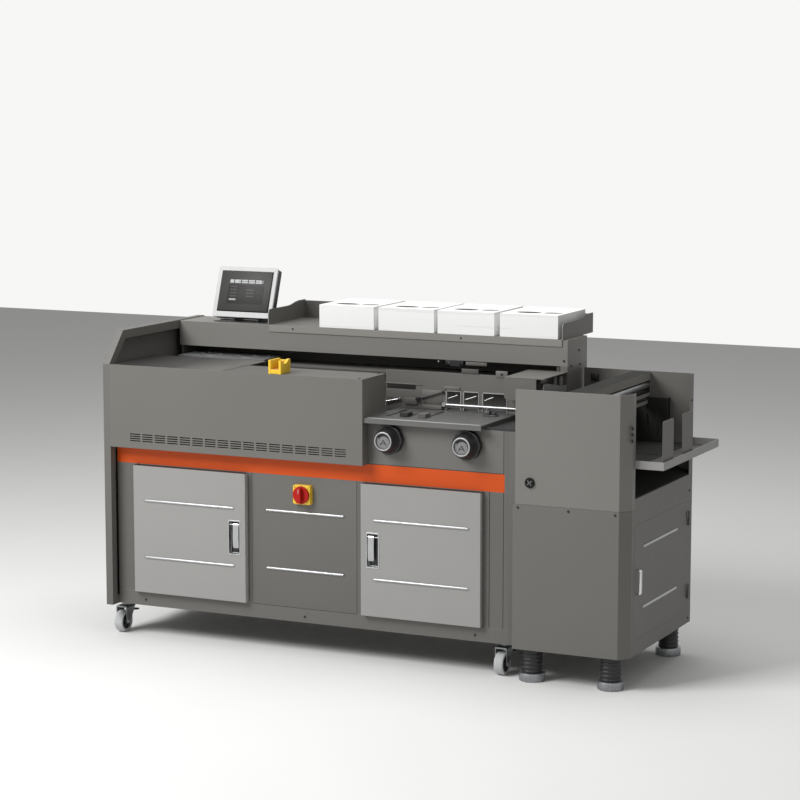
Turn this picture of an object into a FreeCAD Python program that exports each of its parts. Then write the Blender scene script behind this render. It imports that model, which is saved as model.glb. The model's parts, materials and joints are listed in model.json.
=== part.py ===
import FreeCAD, Part
import math
import os

os.makedirs("parts", exist_ok=True)

V = FreeCAD.Vector

# ---------------------------------------------------------------------------
# Automatic perfect binder with a cover feeder, millimetres.
# Working datum: x from the outer face of the left side panel, y from the front
# face of the hood, z from the floor. The finished nodes are moved together so
# that the origin lies on the floor under the middle of the overall box.
# ---------------------------------------------------------------------------

# Sheet thicknesses and clearances
SHEET = 3.0             # covers and panels
SKIN = 2.0              # door skins and pans
LIP = 30.0              # return lip of the side panels
GAP = 0.3               # seat clearance between bodies that move apart
RUN = 0.05              # radial clearance of a running shaft
SEAM = 0.8              # open joint between two covers

# Main cabinet
SIDE_W = 26.0           # depth of a side panel pan
HOOD_L = 987.0          # left face to the right end of the hood
BAY_L = 527.0           # hood's end to the right face
MAIN_L = HOOD_L + BAY_L
MAIN_D = 651.0          # hood front to rear face
FRAME_Z = 110.0         # underside above the floor
FACE_Y = 43.0           # front plane of the cabinet behind the hood
RAIL_H = 47.0           # base rail height
RAIL_W = 40.0           # base rail width
DECK_Z = 605.0          # top of the works deck
BAND_H = 59.0           # orange band height
FILLER_W = 16.0         # strip between fascia and right side panel
POST_D = 30.0           # depth of a front post channel

# Doors of the main cabinet
DOOR_L_X = 101.0        # left edge of the left door
DOOR_L_W = 435.0
DOOR_R_IN = 117.0       # right edge of the right door from the right face
DOOR_R_W = 428.0
DOOR_R_X = MAIN_L - DOOR_R_IN - DOOR_R_W
DOOR_T = 20.0           # how far a door stands proud of the frame
DOOR_LAP = 8.0          # overlap of a door on its post
REVEAL = 22.0           # frame seen between a door and the middle panel
DOOR_MARGIN = 1.0       # door edge to sill and header
PANEL_FLANGE = 18.0     # flange depth of the middle panel
BARREL_H = 4.0          # radius of the barrel rolled into a door's hinge edge
HINGE_PIN = 2.0         # radius of a hinge pin
HINGE_DEEP = 24.0       # bore for the pin in its barrel
HINGE_EAR = 12.0        # width of the ear that carries a pin

# Chrome strips and recessed pulls
STRIP_LOW_Z = 285.0
STRIP_HIGH_Z = 482.0
STRIP_R = 4.5
STRIP_INSET_L = 41.0    # strip ends from the left door's edges
STRIP_INSET_R = 44.0    # strip end from the right door's free edge
STRIP_OUT_R = 39.0      # strip end from the right door's hinge edge
STRIP_INSET_M = 50.5    # strip ends from the middle panel's edges
STRIP_L_LEN = DOOR_L_W - 2 * STRIP_INSET_L
STRIP_R_LEN = DOOR_R_W - STRIP_INSET_R - STRIP_OUT_R
PULL_W = 42.0
PULL_H = 112.0
PULL_Z = 325.0
PULL_IN_L = 21.0        # pull from the left door's free edge
PULL_IN_R = 22.0        # pull from the right door's free edge
PULL_L_X = DOOR_L_X + DOOR_L_W - PULL_IN_L - PULL_W
PULL_R_X = DOOR_R_X + PULL_IN_R
PULL_DISH = 14.0        # depth of the recess behind the paddle
PADDLE_W = 22.0
PADDLE_H = 84.0
PADDLE_IN = 4.0         # paddle from the dish's end nearest the door's free edge
PADDLE_T = 5.0
PADDLE_PROUD = 2.0      # paddle in front of the door's face
PULL_RIM = 4.0
DISH_WALL = 1.5
BARREL_R = 5.0          # round the paddle's pin
PIN_R = 2.0
PIN_IN = 3.5            # pin behind the door's face
PIN_DOWN = 12.0         # pin below the top of the window

# Hood over milling and glueing
HOOD_D = 172.0
HOOD_TOP = 948.0
HOOD_FLANGE = 20.0
SLANT_Y = 92.0          # where the side panel reaches its full height
VENT_X = 104.0
VENT_MARGIN = 60.0      # last slot from the hood's end
VENT_L = HOOD_L - VENT_X - VENT_MARGIN
VENT_Z = 688.0
VENT_GROUPS = 17
VENT_ROWS = 4
VENT_GAP = 8.0          # web between two groups
VENT_SLOT = 3.6         # slot height
VENT_PITCH = 7.6
TABLE_L_END = 470.0     # right end of the loading table
TABLE_L_BACK = 300.0

# Yellow block on the hood
BLOCK_X = 640.0
BLOCK_W = 86.0
BLOCK_D = 70.0
BLOCK_H = 46.0
BLOCK_WALL = 9.0
BLOCK_FLOOR = 16.0
BLOCK_CLEFT = 5.0
CLEFT_DEEP = 12.0
SCOOP_R = 13.0
SCOOP_UP = 4.0          # scoop's axis above the block

# Beam, book rack
BEAM_D = 177.0
BEAM_UP = 17.0          # beam above the hood's top
BEAM_H = 87.0
BEAM_Y = MAIN_D - BEAM_D
BEAM_Z = HOOD_TOP + BEAM_UP
BEAM_TOP_SIDE = BEAM_Z + BEAM_H + SHEET     # top of the left side panel
RACK_X = 389.0
RACK_IN = 20.0          # rack from the right face
RACK_L = MAIN_L - RACK_IN - RACK_X
RACK_D = 276.0
RACK_BACK_H = 62.0
RACK_HEM = 24.0
CHEEK_FRONT_H = 56.0
CHEEK_BACK_H = 68.0
CHEEK_NOSE_R = 16.0
CHEEK_RISE = 140.0      # where the cheek's edge starts to sweep up
CHEEK_CREST = 240.0
BOOK_W = 210.0
BOOK_D = 250.0
BOOK_H = 79.0
BOOK_INSET = 1.0        # book faces behind the beam's front plane
BOOK_GAPS = (16.0, 20.0, 13.0, 18.0)     # from the rack's right end to the left

# Cover table bay
COVER_DOWN = 127.0      # cover table below the hood's top
COVER_Z = HOOD_TOP - COVER_DOWN
COVER_Y = 6.0           # front lip of the cover table
COVER_IN = 109.0        # cover table's right end from the right face
COVER_END = MAIN_L - COVER_IN
COVER_LIP = 16.0
BAY_BACK = 300.0        # front face of the bay wall
WALL_LAP = 59.0         # bay wall behind the hood's end
WALL_X = HOOD_L - WALL_LAP
SLIT_W = 8.0
SLITS = ((49.0, 83.0, 156.0), (115.0, 77.0, 100.0), (179.0, 84.0, 174.0))
WINDOWS = ((225.0, 51.0), (287.0, 54.0), (356.0, 86.0))
WINDOW_H = 63.0
SLOT_HIGH = (4.0, 107.0, 60.0, 16.0)
SLOT_LOW = (4.0, 48.0, 23.0, 7.0)
NIP_COVER_IN = 139.0    # nip cover's left edge from the right face
NIP_COVER_X = MAIN_L - NIP_COVER_IN
NIP_COVER_Y = 263.0
NIP_COVER_UP = 51.0     # nip cover above the cover table
NIP_COVER_LOW = COVER_Z + NIP_COVER_UP
NIP_COVER_R = 14.0
SPLASH_L = 72.0         # splash sheet on the column, from the right face
SPLASH_T = 3.0
SPLASH_UP = 44.0        # and above the cover table
SPLASH_H = 60.0
TROUGH_DOWN = 17.0      # trough below the cover table
TROUGH_Z = COVER_Z - TROUGH_DOWN
ROD_R = 4.0
ROD_UP = 18.0           # rod above the cover table
ROD_Z = COVER_Z + ROD_UP
ROD_IN = 44.0           # rod's end from the right face
ROD_END = MAIN_L - ROD_IN
ROD_BLOCK = 12.0
GUIDE_W = 28.0
GUIDE_D = 40.0
GUIDE_H = 13.0
GUIDE_Y = 86.0
GUIDE_STEM = 7.0
GUIDE_STEM_D = 14.0
GUIDE_SET = 8.0         # stem behind the front of its block
GUIDE_BAR_H = 9.0
GUIDE_BAR_GAP = 3.0     # bar below the cover table

# Handwheels with gravity indicators
WHEEL_IN = (81.0, 358.0)  # handwheels from the hood's end
WHEEL_X = [HOOD_L + x for x in WHEEL_IN]
WHEEL_DOWN = 52.0       # handwheel axes below the trough
WHEEL_Z = TROUGH_Z - WHEEL_DOWN
WHEEL_R = 49.0
WHEEL_RIM = 21.0
WHEEL_SCALLOPS = 8
SCALLOP_R = 14.0
SCALLOP_DEEP = 4.0
WHEEL_OUT = 60.0        # face of the chrome ring from the fascia
RING_R = 31.0
RING_W = 5.0
RING_L = 9.0
DIAL_T = 2.0
SHAFT_R = 6.0
SHAFT_TAIL = 20.0       # shaft behind the fascia

# Main switch
SWITCH_IN = 191.0       # switch from the middle panel's left edge
SWITCH_DOWN = 59.0      # switch below the works deck
SWITCH_X = DOOR_L_X + DOOR_L_W + REVEAL + SWITCH_IN
SWITCH_Z = DECK_Z - SWITCH_DOWN
SWITCH_W = 65.0
SWITCH_T = 18.0
SWITCH_BEVEL = 2.0
KNOB_R = 27.0
KNOB_T = 8.0
GRIP_W = 16.0
GRIP_H = 16.0

# Clamp carriage
CLAMP_X = 60.0
CLAMP_L = 346.0
CLAMP_FRONT = 312.0
JAW_T = 12.0
JAW_OPEN = 62.0
JAW_FRONT = 330.0
JAW_H = 100.0
CLAMP_DOWN = 10.0       # clamp's top below the hood's top
CLAMP_TOP = HOOD_TOP - CLAMP_DOWN
JAW_LOW = CLAMP_TOP - JAW_H
CLAMP_PLATE = 8.0
RAIL_R = 12.5
RAIL_IN = 46.0          # front rail behind the beam's front
RAIL_PITCH = 80.0
RAIL_Y = (BEAM_Y + RAIL_IN, BEAM_Y + RAIL_IN + RAIL_PITCH)
RAIL_DOWN = 33.0        # rail axes below the clamp's top
RAIL_Z = CLAMP_TOP - RAIL_DOWN
BEARING_L = 226.0
BEARING_H = 50.0
BEARING_MARGIN = 25.0
BRACKET_T = 10.0
BRACKET_IN = 4.0        # bracket from the side panel and the beam's front
BRACKET_DROP = 45.0     # bracket below the rails' axes
GUIDE_ROD_R = 8.0
GUIDE_ROD_UP = 30.0     # rods above the jaws' lower edges
GUIDE_ROD_Z = JAW_LOW + GUIDE_ROD_UP
GUIDE_ROD_IN = 12.0     # rod from the end of its jaw
GUIDE_ROD_TAIL = 20.0   # rod behind the fixed jaw
LEVER_AT = (70.0, 215.0)
LEVER_L = 90.0
LEVER_W = 46.0
LEVER_T = 5.0
LEVER_SET = 16.0        # lever from the front edge of the bridge

# Milling, glueing, nipping
BED_X = 555.0
BED_IN = 94.0           # bed's end from the right face
BED_L = MAIN_L - BED_IN - BED_X
BED_Y = 310.0
BED_D = 130.0
BED_T = 15.0
BED_LEG = 40.0
BED_UP = 105.0          # bed above the works deck
BED_Z = DECK_Z + BED_UP
LINE_Y = 373.0          # line along which the spine travels
MILL_X = 650.0
MILL_R = 90.0
MILL_T = 14.0
MILL_TEETH = 12
TOOTH_L = 16.0
TOOTH_W = 9.0
TOOTH_H = 9.0
MILL_LIFT = 8.0         # cutter above its motor
MOTOR_W = 120.0
MOTOR_H = 86.0
MOTOR_FINS = 5
FIN_OUT = 6.0
FIN_T = 5.0
SPINDLE_R = 12.0
TANK_X = 770.0
TANK_L = 180.0
TANK_D = 106.0
TANK_H = 112.0
TANK_WALL = 6.0
ROLL_R = 38.0
ROLL_GAP = 12.0
ROLL_UP = 79.0          # roller axes above the bed
ROLL_Z = BED_Z + ROLL_UP
ROLL_PLAY = 6.0         # end play of a roller in its tank
NIP_IN = 98.0           # nip station from the hood's end
NIP_X = HOOD_L + NIP_IN
NIP_L = 310.0
NIP_D = 56.0
NIP_TABLE_T = 14.0
NIP_JAW_T = 10.0
NIP_JAW_D = 30.0
NIP_JAW_DOWN = 4.0      # nip jaws' lower faces below the cover table
NIP_JAW_Z = COVER_Z - NIP_JAW_DOWN
NIP_BASE_H = 80.0
NIP_POST_R = 10.0
NIP_POST_IN = 50.0      # post from the end of the nip table
NIP_POST_DEEP = 40.0    # post inside the base
NIP_LIFT = 4.0          # stroke of the nip table
NIP_EDGE = 2.0          # edge gap round the nip table
NIP_SLACK = 1.0         # raised nip table below the jaws
NIP_BLOCK_D = 28.0
NIP_PIN_R = 6.0
NIP_PIN_IN = 20.0
NIP_PIN_DOWN = 30.0
NIP_PIN_SEAT = 20.0     # pin inside its bore when the jaw is open
NIP_TRAVEL = 29.0       # stroke of the front jaw
NIP_APRON_T = 6.0

# Cover feeder module
MOD_GAP = 5.0           # lower cover from the main cabinet
MOD_STEP = 7.0          # upper cover's edge from the lower cover's
MOD_L = 387.0
MOD_CANT = 29.0         # canted corner along the front
MOD_X = MAIN_L + MOD_GAP
MOD_UP_X = MOD_X + MOD_STEP
MOD_END = MOD_X + MOD_L
MOD_FLAT = MOD_END - MOD_CANT
MOD_BEND_Y = 39.0
MOD_FLANGE = 25.0
MOD_CORNER = 30.0
MOD_D = 617.0
MOD_TOP = HOOD_TOP
MOD_SEAM_DOWN = 367.0   # seam between the covers below the top
MOD_SEAM = MOD_TOP - MOD_SEAM_DOWN
OPEN_UP = 33.0          # lower edge of the end opening above the seam
OPEN_LOW = MOD_SEAM + OPEN_UP
SPACER = 40.0
SPACER_IN = 70.0        # spacer from the module's edges
SDOOR_Y = 66.0
SDOOR_IN = 37.0         # door's rear edge from the module's rear
SDOOR_W = MOD_D - SDOOR_Y - SDOOR_IN
SDOOR_Z = 160.0
SDOOR_H = 368.0
SDOOR_FLANGE = 15.0
SDOOR_GAP = 0.5
KNUCKLE_R = 4.0         # side door's lift-off hinges
KNUCKLE_L = 24.0
KNUCKLE_IN = 36.0       # hinge from the door's lower or upper edge
LEAF_W = 18.0
LEAF_T = 2.0
SSTRIP_IN = 79.0        # strips from the door's free edge
SSTRIP_OUT = 110.0      # strips from the door's hinge edge
SSTRIP_Y = SDOOR_Y + SSTRIP_IN
SSTRIP_LEN = SDOOR_W - SSTRIP_IN - SSTRIP_OUT
SSTRIP_Z = (254.0, 450.0)
SPULL_IN = 16.0         # pull from the door's free edge
SPULL_Y = SDOOR_Y + SPULL_IN
SPULL_Z = 303.0
SPULL_H = 88.0
SPULL_W = 12.0
SPULL_T = 6.0
SPULL_OUT = 12.0        # finger space behind the pull
HEAD_IN = 171.0         # feed head from the lower cover's left edge
HEAD_X = MOD_X + HEAD_IN
HEAD_W = 66.0
HEAD_H = 109.0
HEAD_DOWN = 4.0         # head below the module's top
HEAD_TOP = MOD_TOP - HEAD_DOWN
HEAD_LOW = HEAD_TOP - HEAD_H
HEAD_CAP = 26.0
HEAD_CHEEK = 6.0
DECK_DOWN = 56.0        # black deck below the head's cap
BLACK_DECK_Z = HEAD_TOP - HEAD_CAP - DECK_DOWN
BAR_W = 20.0
BAR_H = 12.0
JOURNAL_R = 4.0
FEED_R = 12.0
FEED_DOWN = 42.0        # feed roller below the head's top
FEED_Z = HEAD_TOP - FEED_DOWN
DECK2_UP = 100.0        # cover deck and tray floor above the opening's edge
DECK2_Z = OPEN_LOW + DECK2_UP
DECK2_IN = 21.0
DECK2_X = MOD_X + DECK2_IN
CHUTE_DOWN = 24.0       # chute's upper end below the deck
CHUTE_TOP = DECK2_Z - CHUTE_DOWN
SIDE_PLATE_IN = 24.0    # slotted side plate in front of the module's rear skin
SIDE_PLATE_T = 2.0
SIDE_PLATE_L = 136.0
SIDE_PLATE_H = 150.0
SIDE_PLATE_UP = 3.0     # plate above the cover deck
SIDE_SLOTS = (63.0, 98.0)   # slots from the plate's left end
SIDE_SLOT_W = 8.0
SIDE_SLOT_UP = 17.0
SIDE_SLOT_H = 83.0
TRAY_L = 94.0
TRAY_Y = 62.0
TRAY_IN = 14.0          # tray's rear edge from the module's rear
TRAY_D = MOD_D - TRAY_Y - TRAY_IN
TRAY_RIM = 26.0
STOP_W = 100.0
STOP_H = 150.0
STOP_IN = (6.0, 192.0)  # stops from the tray's front edge
STOP_R = 8.0
STOP_SET = 4.0          # stop from the tray's rim
STOP_FOOT = 30.0
LOCK_IN = 58.0          # lock from the lower cover's left edge
LOCK_UP = 71.0          # lock above the seam
LOCK_X = MOD_X + LOCK_IN
LOCK_Z = MOD_SEAM + LOCK_UP
LOCK_R = 16.5
LOCK_T = 6.0
LOCK_CAM_W = 16.0
LOCK_CAM_L = 26.0

# Castors and levelling feet
CASTOR_IN = (16.0, 63.0)    # castors from the left and right faces
CASTOR_BACK = (116.0, 61.0) # and from the hood front and the rear face
CASTOR_X = (CASTOR_IN[0], MAIN_L - CASTOR_IN[1])
CASTOR_Y = (CASTOR_BACK[0], MAIN_D - CASTOR_BACK[1])
CASTOR_AT = [(x, y) for y in CASTOR_Y for x in CASTOR_X]
CASTOR_R = 37.5
CASTOR_W = 32.0
CASTOR_TRAIL = 34.0
CASTOR_PLATE_W = 60.0
CASTOR_PLATE_D = 72.0
CASTOR_PLATE_T = 6.0
FORK_T = 3.0
WHEEL_SIDE = 1.5        # wheel to fork leg
AXLE_R = 5.0
KING_R = 8.0
CROWN_W = 40.0
CROWN_T = 12.0
CROWN_BACK = 16.0       # crown behind the kingpin
LEG_TIP = 9.0           # half width of a leg round the axle
LEG_TOP = 14.0
PEDAL_W = 28.0
PEDAL_L = 34.0
PEDAL_T = 6.0
PEDAL_DROP = 22.0
FOOT_IN = (59.0, 60.0)      # rear feet from the module's left and right edges
FOOT_STEP = 12.0            # front feet to the left of the rear ones, clear of the canted corner
FOOT_BACK = (58.0, 44.0)    # feet from the module's front and rear
FOOT_X = (MOD_X + FOOT_IN[0], MOD_END - FOOT_IN[1])
FOOT_Y = (FOOT_BACK[0], MOD_D - FOOT_BACK[1])
FOOT_AT = [(x - FOOT_STEP, FOOT_Y[0]) for x in FOOT_X] + [(x, FOOT_Y[1]) for x in FOOT_X]
SLEEVE_R = 31.0
PAD_R = 43.0
PAD_H = 28.0
STEM_R = 12.0

# Cable gland on the rear panel, sensor under the beam
GLAND_X = 106.0
GLAND_Z = 200.0
GLAND_R = 12.0
GLAND_BORE_R = 5.0
GLAND_L = 16.0
SENSOR_IN = 98.0        # sensor from the hood's end
SENSOR_X = HOOD_L + SENSOR_IN
SENSOR_W = 38.0
SENSOR_D = 40.0
SENSOR_H = 20.0

# Touch screen
SCREEN_X = 144.0
SCREEN_W = 237.0
SCREEN_H = 184.0
SCREEN_T = 38.0
SCREEN_IN = 26.0        # screen's lower edge behind the beam's front
SCREEN_UP = 19.0        # and above the beam's top
SCREEN_Y = BEAM_Y + SCREEN_IN
SCREEN_Z = BEAM_Z + BEAM_H + SCREEN_UP
SCREEN_LEAN = 19.0
SCREEN_BEZEL = 15.0
SCREEN_CHIN = 20.0      # bezel under the glass
SCREEN_R = 6.0
GLASS_T = 1.5
GLASS_IN = 0.5          # glass behind the bezel's face
NECK_W = 84.0
NECK_L = 26.0
NECK_LOW = 12.0
NECK_HIGH = 34.0
PIVOT_BACK = 14.0       # pivot behind the case
PIVOT_UP = 21.0         # pivot above the case's lower edge
STAND_H = 5.0
STAND_INSET = 6.0
STAND_BACK = 40.0       # base and ears behind the pivot
PIVOT_R = 5.0
EAR_T = 12.0
EAR_FRONT = 8.0
EAR_UP = 12.0

# ---------------------------------------------------------------------------
# Helpers
# ---------------------------------------------------------------------------

nodes = {}


def box(x0, x1, y0, y1, z0, z1):
    """Box from its six faces."""
    return Part.makeBox(x1 - x0, y1 - y0, z1 - z0, V(x0, y0, z0))


def rod(axis, x, y, z, radius, length):
    """Cylinder that starts at the point and runs along +X, +Y or +Z."""
    return Part.makeCylinder(radius, length, V(x, y, z), axis)


X, Y, Z = V(1, 0, 0), V(0, 1, 0), V(0, 0, 1)


def prism(points, direction):
    """Closed polygon pushed along a vector."""
    return Part.Face(Part.makePolygon(points + [points[0]])).extrude(direction)


def add(name, *solids):
    """Add solids to a node."""
    nodes.setdefault(name, []).extend(solids)


def pan(x0, x1, y0, y1, z0, z1, skin):
    """Shallow tray of sheet that opens towards +Y."""
    outer = box(x0, x1, y0, y1, z0, z1)
    return outer.cut(box(x0 + skin, x1 - skin, y0 + skin, y1, z0 + skin, z1 - skin))


def channel(x0, x1, y0, depth, z0, z1, skin):
    """Upright channel: web in front, two flanges to the rear."""
    outer = box(x0, x1, y0, y0 + depth, z0, z1)
    return outer.cut(box(x0 + skin, x1 - skin, y0 + skin, y0 + depth, z0, z1))


def inset(points, d):
    """Polygon offset inwards by d in the YZ plane."""
    wire = Part.makePolygon(points + [points[0]])
    return wire.makeOffset2D(-d, 2, False, False, False)


# ---------------------------------------------------------------------------
# Cabinet
# ---------------------------------------------------------------------------

IN_L = SIDE_W                       # inner face of the left side panel
IN_R = MAIN_L - SIDE_W              # inner face of the right side panel
REAR_Y = MAIN_D - SHEET             # front face of the rear panels
SILL_Z = FRAME_Z + RAIL_H + SHEET   # top of the cabinet floor
HEAD_Z = DECK_Z - SHEET             # underside of the works deck
BAND_TOP = DECK_Z + BAND_H
BEAM_TOP = BEAM_Z + BEAM_H
MID_X = DOOR_L_X + DOOR_L_W + REVEAL
MID_END = DOOR_R_X - REVEAL
FASCIA_END = IN_R - FILLER_W


def side_panel(outline, x0, skin_left):
    """Side panel as a pan: skin on one side, flanges round the outline and a lip on the other."""
    slab = Part.Face(Part.makePolygon(outline + [outline[0]])).extrude(X * SIDE_W)
    pocket = Part.Face(inset(outline, SKIN)).extrude(X * (SIDE_W - 2 * SKIN))
    pocket.translate(X * SKIN)
    mouth = Part.Face(inset(outline, LIP)).extrude(X * SKIN)
    mouth.translate(X * (SIDE_W - SKIN if skin_left else 0))
    shape = slab.cut([pocket, mouth])
    shape.translate(X * x0)
    return shape


left_outline = [
    V(0, 0, FRAME_Z), V(0, 0, HOOD_TOP), V(0, SLANT_Y, BEAM_TOP_SIDE),
    V(0, MAIN_D, BEAM_TOP_SIDE), V(0, MAIN_D, FRAME_Z)]
add("left_side_panel", side_panel(left_outline, 0, True))

right_outline = [
    V(0, FACE_Y, FRAME_Z), V(0, FACE_Y, TROUGH_Z), V(0, MAIN_D, TROUGH_Z), V(0, MAIN_D, FRAME_Z)]
column = box(IN_R, MAIN_L, BEAM_Y, MAIN_D, TROUGH_Z, BEAM_Z)
column = column.cut(box(IN_R + SKIN, MAIN_L - SKIN, BEAM_Y + SKIN, MAIN_D - SKIN, TROUGH_Z, BEAM_Z))
add("right_side_panel", side_panel(right_outline, IN_R, False), column)


def rail_along_x(y0, web_y):
    """Base rail: channel along X with its web at web_y."""
    outer = box(IN_L, IN_R, y0, y0 + RAIL_W, FRAME_Z, FRAME_Z + RAIL_H)
    if web_y == y0:
        hollow = box(IN_L, IN_R, y0 + SHEET, y0 + RAIL_W, FRAME_Z + SHEET, FRAME_Z + RAIL_H - SHEET)
    else:
        hollow = box(IN_L, IN_R, y0, web_y - SHEET, FRAME_Z + SHEET, FRAME_Z + RAIL_H - SHEET)
    return outer.cut(hollow)


def rail_along_y(x0):
    """Cross rail between the front and rear rails, open at its inner side."""
    y0 = FACE_Y + RAIL_W
    y1 = REAR_Y - RAIL_W
    outer = box(x0, x0 + RAIL_W, y0, y1, FRAME_Z, FRAME_Z + RAIL_H)
    inner = box(x0 + SHEET, x0 + RAIL_W - SHEET, y0, y1, FRAME_Z + SHEET, FRAME_Z + RAIL_H - SHEET)
    return outer.cut(inner)


floor_sheet = box(IN_L, IN_R, FACE_Y, REAR_Y, FRAME_Z + RAIL_H, SILL_Z)


def hinge_axis(edge, inward):
    """Hinge axis of a door: behind its folded edge, one barrel radius inward."""
    return V(edge + inward * BARREL_H, FACE_Y - GAP - BARREL_H, 0)


HINGES = (hinge_axis(DOOR_L_X, 1), hinge_axis(DOOR_R_X + DOOR_R_W, -1))
DOOR_LOW = SILL_Z + DOOR_MARGIN
DOOR_HIGH = HEAD_Z - DOOR_MARGIN


def hinge_ears(z0, z1):
    """Ears that carry the hinge pins in front of a sheet."""
    return [box(a.x - HINGE_EAR / 2, a.x + HINGE_EAR / 2, a.y - BARREL_H, FACE_Y, z0, z1) for a in HINGES]


floor_sheet = floor_sheet.fuse(hinge_ears(FRAME_Z + RAIL_H, SILL_Z)).removeSplitter()
pin_length = HINGE_DEEP + DOOR_MARGIN - SEAM
hinge_pins = [rod(Z, a.x, a.y, z, HINGE_PIN, pin_length) for a in HINGES
              for z in (SILL_Z, HEAD_Z - pin_length)]
add("cabinet_frame",
    rail_along_x(FACE_Y, FACE_Y),
    rail_along_x(REAR_Y - RAIL_W, REAR_Y),
    rail_along_y(IN_L),
    rail_along_y(IN_R - RAIL_W),
    floor_sheet)

post_spans = (
    (IN_L, DOOR_L_X + DOOR_LAP),
    (DOOR_L_X + DOOR_L_W - DOOR_LAP, MID_X),
    (MID_END, DOOR_R_X + DOOR_LAP),
    (DOOR_R_X + DOOR_R_W - DOOR_LAP, IN_R))
posts = [channel(a, b, FACE_Y, POST_D, SILL_Z, HEAD_Z, SKIN) for a, b in post_spans]
corner_post = channel(FASCIA_END, IN_R, FACE_Y, POST_D, DECK_Z, TROUGH_Z, SKIN)
add("cabinet_frame", *posts, corner_post)

deck = box(IN_L, IN_R, FACE_Y, REAR_Y, HEAD_Z, DECK_Z)
deck = deck.fuse(hinge_ears(HEAD_Z, DECK_Z)).removeSplitter()
walls = [box(x, x + SHEET, FACE_Y + POST_D, REAR_Y, SILL_Z, HEAD_Z)
         for x in (MID_X - SHEET, MID_END)]
add("cabinet_frame", deck, *walls, *hinge_pins)

middle = (IN_L + IN_R) / 2
add("rear_panels",
    box(IN_L, middle - SEAM / 2, REAR_Y, MAIN_D, FRAME_Z, BEAM_Z),
    box(middle + SEAM / 2, IN_R, REAR_Y, MAIN_D, FRAME_Z, BEAM_Z))

add("front_panels", pan(MID_X, MID_END, FACE_Y, FACE_Y + PANEL_FLANGE, SILL_Z, HEAD_Z, SKIN))

band = box(IN_L, FASCIA_END, FACE_Y, FACE_Y + PANEL_FLANGE, DECK_Z, BAND_TOP)
band = band.cut(box(IN_L, FASCIA_END, FACE_Y + SKIN, FACE_Y + PANEL_FLANGE, DECK_Z + SKIN, BAND_TOP - SKIN))
add("orange_band", band)


# ---------------------------------------------------------------------------
# Doors, strips and recessed pulls
# ---------------------------------------------------------------------------

DOOR_Y = FACE_Y - DOOR_T            # front plane of the doors


def half_round(start, out, along, across, length):
    """Half-round strip on a plane: out is the plane's normal, along the strip's direction."""
    arc = Part.Arc(start + across * STRIP_R, start + out * STRIP_R, start - across * STRIP_R)
    chord = Part.makeLine(start - across * STRIP_R, start + across * STRIP_R)
    return Part.Face(Part.Wire([arc.toShape(), chord])).extrude(along * length)


def strip_x(x0, length, z, face_y):
    """Half-round strip along X on a front plane."""
    return half_round(V(x0, face_y, z), -Y, X, Z, length)


def door_pan(x0, width, pull_x, axis):
    """Door skin with folded edges, a hinge barrel in one of them and the window for its pull."""
    shape = pan(x0, x0 + width, DOOR_Y, FACE_Y - GAP, DOOR_LOW, DOOR_HIGH, SKIN)
    corner = box(axis.x - BARREL_H, axis.x + BARREL_H, axis.y, axis.y + BARREL_H, DOOR_LOW, DOOR_HIGH)
    window = box(pull_x, pull_x + PULL_W, DOOR_Y, DOOR_Y + SKIN, PULL_Z, PULL_Z + PULL_H)
    shape = shape.cut([corner, window])
    shape = shape.fuse(rod(Z, axis.x, axis.y, DOOR_LOW, BARREL_H, DOOR_HIGH - DOOR_LOW)).removeSplitter()
    bores = [rod(Z, axis.x, axis.y, z, HINGE_PIN + RUN, HINGE_DEEP)
             for z in (DOOR_LOW, DOOR_HIGH - HINGE_DEEP)]
    return shape.cut(bores)


def pull_dish(pull_x):
    """Pressed dish that fills the door's window, with a thin rim on the skin."""
    rim = box(pull_x - PULL_RIM, pull_x + PULL_W + PULL_RIM, DOOR_Y - DISH_WALL, DOOR_Y,
              PULL_Z - PULL_RIM, PULL_Z + PULL_H + PULL_RIM)
    dish = box(pull_x, pull_x + PULL_W, DOOR_Y, DOOR_Y + PULL_DISH, PULL_Z, PULL_Z + PULL_H)
    hollow = box(pull_x + DISH_WALL, pull_x + PULL_W - DISH_WALL, DOOR_Y - DISH_WALL,
                 DOOR_Y + PULL_DISH - DISH_WALL, PULL_Z + DISH_WALL, PULL_Z + PULL_H - DISH_WALL)
    return rim.fuse(dish).cut(hollow).removeSplitter()


def pivot_at(pull_x):
    """Place of a paddle's pin."""
    return V(pull_x, DOOR_Y + PIN_IN, PULL_Z + PULL_H - PIN_DOWN)


def paddle(pull_x, side):
    """Paddle that hangs from a pin across the top of its dish, set to one side of it."""
    pin = pivot_at(pull_x)
    x0 = pull_x + side
    front = DOOR_Y - PADDLE_PROUD
    plate = box(x0, x0 + PADDLE_W, front, front + PADDLE_T,
                pin.z + BARREL_R - PADDLE_H, pin.z + BARREL_R)
    barrel = rod(X, x0, pin.y, pin.z, BARREL_R, PADDLE_W)
    axle = rod(X, pull_x + DISH_WALL + GAP, pin.y, pin.z, PIN_R, PULL_W - 2 * (DISH_WALL + GAP))
    return plate.fuse([barrel, axle]).removeSplitter()


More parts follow.
